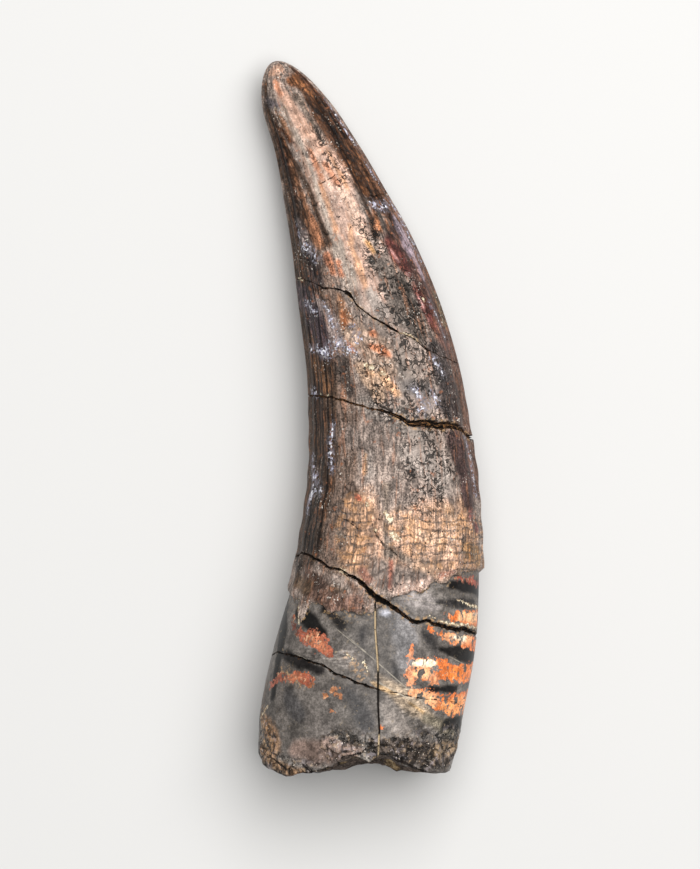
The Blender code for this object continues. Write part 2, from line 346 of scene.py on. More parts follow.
ROOT_CRACK = Crack((
    (161, -24.2, 0.07, 0.12), (131, -24.9, 0.11, 0.25), (120, -25.4, 0.12, 0.3), (110, -26.2, 0.12, 0.3),
    (97, -27.2, 0.11, 0.28), (87, -27.8, 0.09, 0.2), (82, -28.1, 0.06, 0), (60, -28.8, 0.06, 0),
    (10, -30, 0.08, 0), (310, -30.4, 0.08, 0.12), (250, -28.6, 0.11, 0.25), (205, -25.6, 0.09, 0.18),
))
LOWER_CRACK = Crack((
    (168, -14.1, 0.08, 0.2), (151, -14.1, 0.13, 0.35), (133, -15.2, 0.17, 0.4), (127, -15.5, 0.13, 0.4),
    (122, -15.6, 0.12, 0.4), (116, -16.1, 0.16, 0.5), (109, -16.7, 0.21, 0.6), (104, -17.3, 0.26, 0.7),
    (100, -17.9, 0.33, 0.8), (95, -18.5, 0.34, 0.8), (89, -19, 0.27, 0.75), (84, -19.5, 0.23, 0.65),
    (77, -20.2, 0.21, 0.6), (71, -20.9, 0.21, 0.6), (66, -21.1, 0.21, 0.6), (62, -20.8, 0.18, 0.55),
    (57, -21.3, 0.2, 0.55), (46, -21.8, 0.22, 0.55), (33, -21.9, 0.24, 0.55), (10, -22.5, 0.24, 0.5),
    (345, -23.3, 0.18, 0.4), (312, -22.8, 0.15, 0.36), (282, -21.6, 0.18, 0.4), (252, -19, 0.18, 0.36),
    (220, -16.6, 0.14, 0.3), (190, -14.9, 0.09, 0.24),
))
BELLY_CRACK = Crack((
    (168, 2.3, 0.08, 0.22), (153, 2.2, 0.09, 0.28), (140, 2.2, 0.1, 0.34), (125, 1.8, 0.11, 0.38),
    (112, 1.4, 0.11, 0.38), (104, 1, 0.09, 0.34), (97, 0.8, 0.1, 0.36), (91, 0.6, 0.16, 0.5),
    (84, 0.2, 0.22, 0.65), (77, -0.5, 0.3, 0.75), (70, -0.5, 0.38, 0.8), (62, -0.6, 0.4, 0.8),
    (46, -0.7, 0.4, 0.8), (37, -0.7, 0.38, 0.75), (29, -0.9, 0.34, 0.7), (14, -1.9, 0.26, 0.5),
    (350, -2.2, 0.2, 0.34), (322, -1.4, 0.16, 0.34), (292, 0.1, 0.17, 0.36), (255, 1.3, 0.13, 0.3),
    (215, 2.4, 0.09, 0.24),
))
UPPER_CRACK = Crack((
    (164, 14.5, 0.05, 0.08), (148, 14.4, 0.05, 0.1), (139, 13.9, 0.05, 0.12), (127, 13.6, 0.07, 0.2),
    (110, 13.2, 0.08, 0.24), (108, 13.2, 0.28, 0.5), (104, 12.6, 0.36, 0.55), (102, 11.9, 0.15, 0.5),
    (99, 11.4, 0.11, 0.45), (90, 10.4, 0.12, 0.42), (81, 9.7, 0.15, 0.45), (77, 9.2, 0.18, 0.45),
    (72, 8.9, 0.1, 0.34), (67, 8.6, 0.05, 0.12), (59, 8.1, 0.05, 0.12), (56, 7.7, 0.12, 0.3),
    (50, 7.2, 0.13, 0.34), (46, 6.9, 0.06, 0.14), (37, 6.5, 0.05, 0.14), (8, 5.8, 0.05, 0.1),
    (330, 6.6, 0.07, 0.12), (285, 9.8, 0.11, 0.24), (240, 12.9, 0.1, 0.2), (200, 14.4, 0.05, 0.06),
))
TIP_CRACK = Crack((
    (170, 24.6, 0.05, 0), (118, 24.1, 0.05, 0), (111, 24.2, 0.05, 0.1), (97, 24.8, 0.06, 0.12),
    (80, 25.4, 0.05, 0.1), (70, 25.3, 0.05, 0), (52, 23.4, 0.06, 0), (44, 23.2, 0.09, 0.12),
    (18, 23.5, 0.09, 0.12), (0, 23.8, 0.05, 0), (270, 24.4, 0.05, 0),
))


class Mark(Enum):
    """The fields that the relief and the finish read on every point of the tooth."""

    ENAMEL = "enamel"
    CRACK = "crack"
    CRACK_FILL = "crack_fill"
    CRACK_RIM = "crack_rim"
    HAIRLINE = "hairline"
    SPLIT = "split"
    SPLIT_FILL = "split_fill"
    ORANGE = "orange"
    CRUST = "crust"
    PALE = "pale"
    RIBBED = "ribbed"
    PITTED = "pitted"
    BANDED = "banded"
    CELLED = "celled"
    GRITTY = "gritty"
    STREAKED = "streaked"
    POLISHED = "polished"
    SPECKLED = "speckled"
    BROKEN = "broken"


@dataclass(frozen=True)
class Relief:
    """How far the surface stands out from the bare sections, in millimetres."""

    flute_count: int = 21
    flute_height: float = 0.17
    flute_on_flank: float = 0.35
    carina_height: float = 0.3
    carina_spread: float = 5.0
    # How far from an edge and where along the tooth the flutes become worn, in degrees and mm.
    worn_turns: tuple = (40.0, 65.0)
    worn_alongs: tuple = (26.0, 14.0)
    band_pitch: float = 3.2
    band_height: float = 0.05
    band_alongs: tuple = (6.0, -4.0)
    lump_size: float = 5.5
    lump_height: float = 0.13
    enamel_step: float = 0.24
    enamel_slope: float = 0.45
    enamel_border: tuple = (
        (15, -15.7), (33, -16), (46, -16.5), (52, -17.1), (60, -17.1), (65, -17.5), (69, -18.1), (80, -18.1),
        (85, -18.5), (95, -19.8), (103, -20.1), (121, -20.1), (132, -19), (138, -19.3), (141, -21.2),
        (145, -21.4), (149, -18.9), (163, -18.7), (195, -17.6), (212, -18.6), (230, -19.4), (247, -18.2),
        (262, -18.2), (283, -19.6), (300, -20), (318, -18), (335, -17.2),
    )
    # The rags of that border and the grit of the broken rim: height, size in mm and which noise.
    border_rags: tuple = ((0.35, 1.1, 21), (0.18, 0.45, 22))
    grit_lumps: tuple = ((0.28, 1.7, 5), (0.126, 0.8, 6), (0.07, 0.4, 7))
    grit_from: float = -34.8
    grit_reach: float = 5.0
    pit_size: float = 0.75
    pit_depth: float = 0.1
    pit_levels: tuple = (0.25, 0.75)
    crust_height: float = 0.07
    crust_evenness: float = 0.6
    crust_grain: float = 0.45
    crust_edge: tuple = (-0.2, 0.35)
    split_path: tuple = ((-34.9, 78), (-32.2, 79), (-29.6, 82), (-25.9, 86), (-21.7, 92), (-19.0, 95))
    split_half_width: float = 0.12
    split_depth: float = 0.22
    split_fade: float = 0.8

    def split_turn(self, along: np.ndarray) -> np.ndarray:
        """The turn of the crack that runs up the root, carried straight on past its ends."""
        return np.interp(along, *np.array(self.split_path, float).T)

    def above_border(self, turn: np.ndarray, along: np.ndarray, places: np.ndarray) -> np.ndarray:
        """Millimetres above the torn lower border of the enamel, negative on the root."""
        return along - around(turn, self.enamel_border) + layered(places, self.border_rags)

    def height(self, turn: np.ndarray, along: np.ndarray, places: np.ndarray, marks: dict) -> np.ndarray:
        """Add up the relief.

        Args:
            turn: Turns in degrees.
            along: Places along the tooth.
            places: The same places on the bare sections, in millimetres.
            marks: The field of each marking.

        Returns:
            On the enamel, a Gaussian ridge on each edge, long cosine flutes, sine bands and round pits;
            below its border a step down; everywhere soft lumps; grit near the broken rim; crusts that
            stand proud; and a V groove up the root.
        """
        enamel = ramp(marks[Mark.ENAMEL], 0.0, self.enamel_slope)
        from_edge = np.minimum(np.abs((turn + 180.0) % TURN - 180.0), np.abs(turn % TURN - 180.0))
        carina = self.carina_height * np.exp(-((from_edge / self.carina_spread) ** 2))
        phase = turn - self.split_path[-1][1]
        flute = 0.5 * self.flute_height * np.cos(np.radians(self.flute_count * phase))
        flute = flute * ramp(from_edge, self.carina_spread, 3 * self.carina_spread)
        worn = ramp(from_edge, *self.worn_turns) * ramp(along, *self.worn_alongs)
        flute = flute * (1.0 - (1.0 - self.flute_on_flank) * worn)
        wave = np.sin(2 * np.pi * along / self.band_pitch)
        band = self.band_height * wave * ramp(along, *self.band_alongs)
        pits = self.pit_depth * marks[Mark.PITTED] * ramp(lumps(places, self.pit_size, 31), *self.pit_levels)
        out = enamel * (carina + flute + band - pits) - (1.0 - enamel) * self.enamel_step
        out = out + self.lump_height * lumps(places, self.lump_size, 3)
        near_break = ramp(along, self.grit_from + self.grit_reach, self.grit_from)
        out = out + near_break * layered(places, self.grit_lumps)
        grain = self.crust_evenness + (1.0 - self.crust_evenness) * lumps(places, self.crust_grain, 8)
        out = out + self.crust_height * grain * ramp(marks[Mark.CRUST], *self.crust_edge)
        groove = np.clip(1.0 - np.abs(marks[Mark.SPLIT]) / self.split_half_width, 0.0, 1.0)
        top = self.split_path[-1][0]
        return out - self.split_depth * groove * ramp(along, top + self.split_fade, top)


@dataclass(frozen=True)
class BrokenEnd:
    """The broken lower end of the root: its rim, its thick wall and the fill of the pulp cavity."""

    rim: tuple = (
        (0, -34.8), (14, -36.6), (30, -36.8), (48, -36.4), (62, -35.7), (70, -34.9), (78, -34.6), (83, -35.6),
        (90, -34.7), (97, -34.6), (104, -36), (118, -36.6), (135, -36.9), (155, -36.3), (170, -35.2),
        (180, -34.4), (190, -35.4), (205, -36), (225, -36.8), (248, -37.4), (268, -36.4), (285, -36.4),
        (300, -36.8), (318, -37.3), (332, -37.3), (345, -36.5),
    )
    # Each has its share of the way out from the middle, and how much shallower it lies than the rim.
    rings: tuple = (
        (1, 0), (0.93, 0.05), (0.86, 0.25), (0.6, 0.6), (0.5, 2), (0.25, 1.6), (0, 1.6),
    )
    ring_count: int = 20
    blur_degrees: float = 110.0
    # The rings lose their lumps between these shares, so that the last one meets the rim.
    lump_shares: tuple = (1.0, 0.9)
    # Lumps: height and size in mm, and which noise. The chips are read on a circle of this radius.
    coarse_lumps: tuple = ((0.55, 2.4, 11),)
    fine_lumps: tuple = ((0.22, 0.9, 12), (0.132, 0.45, 13))
    chips: tuple = ((0.16, 0.9, 41),)
    chip_circle: float = 9.0

    def along(self, turn: np.ndarray) -> np.ndarray:
        """The rim, with small chips."""
        angle = np.radians(turn)
        circle = self.chip_circle * np.stack([np.cos(angle), np.sin(angle), 0.0 * turn], axis=-1)
        return around(turn, self.rim) + layered(circle, self.chips)

    def ring_points(self, rim_points: np.ndarray, turn: np.ndarray) -> tuple[np.ndarray, np.ndarray]:
        """Lay the rough end inside the rim.

        Args:
            rim_points: The points of the rim.
            turn: Their turns, rising from the first by less than a full turn.

        Returns:
            Rings from the innermost to the outermost, each the rim drawn in to its share, and the shares.
            A ring's depth is the rim's, averaged over more of the turn towards the middle, plus the rise
            and three sizes of lumps.
        """
        middle = rim_points.mean(axis=0)
        shares = np.linspace(0.0, 1.0, self.ring_count + 2)[1:-1]
        stops, rises = np.array(sorted(self.rings)).T
        spacing = 2.0
        even_turns = turn[0] + np.arange(0.0, TURN, spacing)
        even_rim = np.interp(even_turns, turn, rim_points[:, 1], period=TURN)
        rings = []
        for share in shares:
            reach = round(0.5 * self.blur_degrees * (1.0 - share) / spacing)
            blurred = np.mean([np.roll(even_rim, step) for step in range(-reach, reach + 1)], axis=0)
            ring = middle + share * (rim_points - middle)
            ring[:, 1] = np.interp(turn, even_turns, blurred, period=TURN) + np.interp(share, stops, rises)
            inside = ramp(np.array(share), *self.lump_shares)
            for layers in (self.coarse_lumps, self.fine_lumps):
                ring[:, 1] += inside * layered(ring, layers)
            rings.append(ring)
        return np.array(rings), shares


@dataclass(frozen=True)
class Marking:
    """A marking of brush strokes. With an edge, it is a mask that fades in between those two depths."""

    strokes: tuple
    edge: tuple | None = None

    def field(self, form: Sections, turn: np.ndarray, along: np.ndarray) -> np.ndarray:
        """Read the marking.

        Args:
            form: The sections that the strokes lie on.
            turn: Turns in degrees.
            along: Places along the tooth.

        Returns:
            Millimetres inside the strokes, no lower than the floor, or else the mask from 0 to 1.
        """
        depth = np.maximum(inside_strokes(self.strokes, form, turn, along), DEPTH_FLOOR)
        return depth if self.edge is None else ramp(depth, *self.edge)


MARKINGS: dict[Mark, Marking] = {
    Mark.ORANGE: Marking(strokes=(
        ((69, -23.6, 0.12), (68, -24.8, 0.45), (66, -26, 0.7), (66, -27.3, 0.45)),
        ((66, -25.5, 0.5), (54, -25.4, 0.75), (47, -25.6, 0.65)),
        ((45, -16.4, 0.25), (30, -16.8, 0.4), (8, -17.2, 0.5)), ((56, -26.6, 0.6), (47, -26.6, 0.8)),
        ((44, -26.4, 0.8), (22, -26.5, 1), (10, -26.6, 0.9)),
        ((64, -28.3, 0.4), (54, -28.6, 0.6), (45, -29.4, 0.9), (30, -29.7, 1.2), (6, -29.6, 1.2)),
        ((50, -20.5, 0.2), (38, -20.7, 0.6), (20, -20.9, 0.8), (0, -21.1, 0.7)),
        ((60, -21.7, 0.15), (47, -22.6, 0.4), (30, -23.2, 0.6), (8, -23.6, 0.7)),
        ((153, -20.6, 0.15), (149, -21.5, 0.25), (141, -22.2, 0.35)),
        ((141, -22.2, 0.35), (131, -22.7, 0.85), (121, -23.5, 0.85), (116, -24.1, 0.5)),
        ((160, -27.7, 0.4), (149, -26.9, 0.5)), ((147, -27.1, 0.5), (134, -26.6, 0.4), (124, -27.2, 0.5)),
        ((113, -28.5, 0.22), (108, -28, 0.35), (103, -28.6, 0.2)), ((107, -30, 0.12), (106, -30.4, 0.08)),
        ((78, -31.8, 0.16),), ((342, -24.4, 0.7), (318, -25.6, 1.1), (306, -25.2, 0.5)),
        ((302, -29.4, 0.8), (282, -30.4, 0.6)), ((252, -22.8, 0.6), (236, -24, 1), (226, -23.6, 0.5)),
        ((206, -27.4, 1), (196, -28.4, 0.6)), ((268, -33, 0.5),),
    )),
    Mark.CRUST: Marking(strokes=(
        ((153, 20.3, 0.1), (151, 19.3, 0.25), (153, 18.6, 0.1)),
        ((152, 17.8, 0.2), (146, 17.9, 0.3), (136, 17.4, 0.3), (131, 16.5, 0.25)),
        ((165, 7.2, 0.15), (150, 7.4, 0.2), (140, 6.6, 0.4), (131, 7.3, 0.55), (122, 7.8, 0.4)),
        ((124, 7.6, 0.3), (112, 7, 0.4)), ((108, 9.3, 0.1), (105, 8.6, 0.25), (108, 8, 0.1)),
        ((160, 12, 0.2), (146, 11.2, 0.3)), ((132, 11.6, 0.15), (126, 9.8, 0.2)),
        ((170, 2.8, 0.25), (160, 2.6, 0.2)),
        ((137, -0.4, 0.1), (139, -2.5, 0.22), (140, -4.2, 0.24), (137, -5.4, 0.12)),
        ((170, -4.3, 0.5), (163, -5.8, 0.6), (156, -6.8, 0.55), (150, -7.6, 0.45)),
        ((162, -7.6, 0.6), (168, -9.6, 0.55)), ((69, 2.9, 0.2), (64, 2, 0.25), (60, 1.2, 0.2)),
        ((66, 0.6, 0.25), (58, 1.4, 0.2)), ((52, 2.5, 0.25), (50, 1.2, 0.2)), ((45, 6, 0.2), (38, 4.6, 0.2)),
        ((22, -2, 0.15), (14, -4.4, 0.2), (14, -6, 0.2), (10, -8, 0.25)),
        ((14, 33.2, 0.1), (16, 31, 0.15), (12, 29, 0.15)), ((14, 26.5, 0.2), (10, 25, 0.15)),
        ((6, 22.5, 0.3), (8, 19, 0.3), (8, 16.5, 0.2)), ((50, 22.4, 0.25), (38, 22, 0.25), (22, 22.6, 0.15)),
        ((28, 12, 0.12), (22, 10, 0.12), (20, 8.6, 0.1)), ((200, 18, 0.4), (215, 15.5, 0.3)),
        ((330, 9, 0.5), (318, 7.5, 0.4)), ((240, -2, 0.5), (250, -5, 0.4)),
        ((290, -10, 0.4), (300, -13, 0.3)), ((215, -30, 0.5),),
    )),
    # Cream and tan grains, crack rims and thin seams.
    Mark.PALE: Marking(strokes=(
        ((121, -15.7, 0.25), (118, -15.9, 0.28)), ((35, 12.4, 0.22),), ((103, 5.5, 0.26),),
        ((99, 5.3, 0.26),), ((91, 4.6, 0.28),), ((107, -9, 0.18),), ((95, -9.8, 0.2), (92, -10.5, 0.3)),
        ((101, -11.7, 0.22),), ((89, -12.1, 0.35), (86, -12.6, 0.25)),
        ((150, -18.9, 0.22), (146, -20.3, 0.2), (144, -21.3, 0.12)),
        ((40, -18.9, 0.05), (27, -19.4, 0.12), (6, -19.9, 0.12)),
        ((62, -20.4, 0.04), (46, -21.3, 0.1), (33, -21.4, 0.14), (10, -21.9, 0.14)),
        ((114, 32.5, 0.05), (152, 32.4, 0.07)), ((160, 14.5, 0.12), (172, 14.6, 0.1)),
        ((72, 8.9, 0.06), (63, 8.6, 0.09), (56, 7.9, 0.06)), ((151, 2.5, 0.12),), ((142, 2.4, 0.12),),
        ((170, -31.4, 0.2), (158, -29.9, 0.14)), ((106, -24.2, 0.05), (101, -24.9, 0.1)),
        ((95, -25, 0.1), (92, -26, 0.12)),
    )),
    Mark.RIBBED: Marking(edge=(-0.4, 0.5), strokes=(
        ((156, 30, 1.4), (154, 16, 2.2), (154, 0, 2.6), (152, -12, 2.2)),
        ((40, 33, 1), (42, 26, 1.6), (38, 20, 1.6)), ((230, 28, 2.5), (235, 0, 4)),
        ((310, 28, 2.5), (305, 0, 4)),
    )),
    Mark.PITTED: Marking(edge=(-0.6, 0.8), strokes=(
        ((72, 20, 1.6), (60, 12, 3.2), (58, 3, 3.4), (62, -5, 3.4), (66, -8, 2.4)),
        ((96, 6, 2.2), (92, 1, 1.6)), ((80, 30, 0.8), (78, 25, 1.2)), ((240, 10, 3.2), (250, -6, 3.4)),
    )),
    # The tan foot of the crown has bands across it, and granules where it is least worn.
    Mark.BANDED: Marking(edge=(-0.5, 0.5), strokes=(
        ((80, -11.5, 2.4), (56, -12.5, 3.2), (30, -13, 3.4), (4, -13, 2.6)),
        ((118, -10, 2.2), (112, -13.5, 2.2)), ((250, -12, 4), (310, -12, 4)),
    )),
    Mark.CELLED: Marking(edge=(-0.4, 0.4), strokes=(
        ((62, 35.6, 0.5), (50, 32, 1.3), (42, 27, 1.5), (44, 22, 1.5)),
        ((150, 29, 0.9), (144, 24, 1.2), (142, 17, 1.2)),
        ((122, -8, 1.2), (114, -10.5, 2.2), (110, -14.5, 1.6)),
        ((100, -16, 1.4), (86, -16.5, 1.2), (60, -15.6, 1.2)), ((140, -17.2, 1.4), (118, -18.4, 1.4)),
        ((113, 12, 1), (104, 8.5, 1.6), (90, 7.2, 1.8), (82, 5.2, 1.2)),
        ((44, 19.5, 1), (36, 16, 1.4), (24, 11, 1.4)),
    )),
    # Thin dark cracks that the relief doesn't follow.
    Mark.HAIRLINE: Marking(strokes=(
        ((104, 1.8, 0.05), (99, 1.5, 0.09), (93, 1, 0.11), (88, 0.6, 0.1)),
        ((130, -10.1, 0.04), (120, -10.7, 0.06), (111, -11.6, 0.04)),
        ((102, -11.6, 0.04), (95, -13.1, 0.08), (89, -13.7, 0.06), (82, -14.6, 0.04)),
        ((129, 6.5, 0.04), (132, 3.8, 0.08), (133, 2.1, 0.06)),
        ((170, -34.4, 0.06), (146, -35.4, 0.12), (134, -36.3, 0.12)), ((123, -35.8, 0.1), (114, -36.9, 0.12)),
        ((78, -35.1, 0.16), (64, -35.4, 0.14), (49, -36.4, 0.12), (36, -37, 0.08)),
        ((99, -35, 0.12), (88, -34.5, 0.1), (83, -33.5, 0.12), (79, -33.5, 0.06)),
        ((136, 36.2, 0.02), (110, 35.9, 0.03), (92, 36.1, 0.03), (78, 37, 0.02)),
        ((103, 12.2, 0.04), (98, 10.4, 0.05), (104, 9.4, 0.04)),
    )),
    Mark.STREAKED: Marking(edge=(-0.6, 0.6), strokes=(
        ((86, -26.8, 0.5), (72, -28.4, 1.3), (56, -30.4, 1.5), (40, -32, 0.9)),
        ((128, -24.6, 0.8), (104, -24.6, 1.2)),
    )),
    # Where wear has polished the enamel, and where tan grains are strewn over the root.
    Mark.POLISHED: Marking(edge=(-0.5, 0.5), strokes=(
        ((124, 35.6, 0.7), (112, 32.8, 1.1), (98, 28.4, 2), (94, 24, 2.4), (92, 18, 1.8), (84, 12, 1.8)),
        ((84, 12, 1.6), (74, 8, 1.4), (68, 0, 1.6), (64, -3.6, 1.8)),
    )),
    Mark.SPECKLED: Marking(edge=(-0.5, 0.5), strokes=(
        ((106, -24.4, 0.2), (100, -25.2, 0.4), (94, -26.6, 0.5)), ((150, -26.2, 0.5), (128, -27.4, 0.5)),
        ((166, -31, 1), (154, -34, 1)),
    )),
    Mark.GRITTY: Marking(edge=(-0.6, 0.6), strokes=(
        ((174, -30.6, 0.9), (160, -31.8, 1.3), (148, -33.6, 1)),
        ((170, -33, 1.4), (160, -35, 1.8), (135, -36.6, 1.6), (110, -36.8, 1.4)),
        ((104, -33.8, 1.6), (80, -34.6, 1.8), (50, -34.6, 2.2), (20, -34, 2)),
        ((200, -35, 1.8), (250, -36, 1.8), (300, -35, 1.8), (350, -34.8, 1.8)),
    )),
}


class Ground(Enum):
    """The vector and colour attributes that the finish reads."""

    STRAIGHT = "straight"
    ROUND = "round"
    ENAMEL_COLOUR = "enamel_colour"
    ROOT_COLOUR = "root_colour"
    MINERAL_COLOUR = "mineral_colour"


@dataclass(frozen=True)
class GroundPaint:
    """A ground colour and the soft patches over it, the later ones on top.

    Each patch has its sRGB hex, how far its edge fades in mm, and then its brush strokes.
    """

    base: str
    patches: tuple
    # The rags of each patch's edge: height as a share of its fade, size in mm and which noise.
    rags: tuple = ((0.36, 1.4, 51), (0.24, 0.55, 52))

    def colours(self, form: Sections, turn: np.ndarray, along: np.ndarray, places: np.ndarray) -> np.ndarray:
        """Paint the ground.

        Args:
            form: The sections that the strokes lie on.
            turn: Turns in degrees.
            along: Places along the tooth.
            places: The same places in millimetres.

        Returns:
            Linear colours. Each patch covers what is under it by a ramp over its depth inside its best
            stroke, to which two sizes of noise are added.
        """
        colour = np.broadcast_to(np.array(linear_colour(self.base)), turn.shape + (4,)).copy()
        torn = layered(places, self.rags)
        for hex_code, fade, *strokes in self.patches:
            depth = inside_strokes(strokes, form, turn, along) + fade * torn
            weight = ramp(depth, -0.5 * fade, 0.5 * fade)
            colour += weight[..., None] * (np.array(linear_colour(hex_code)) - colour)
        return colour


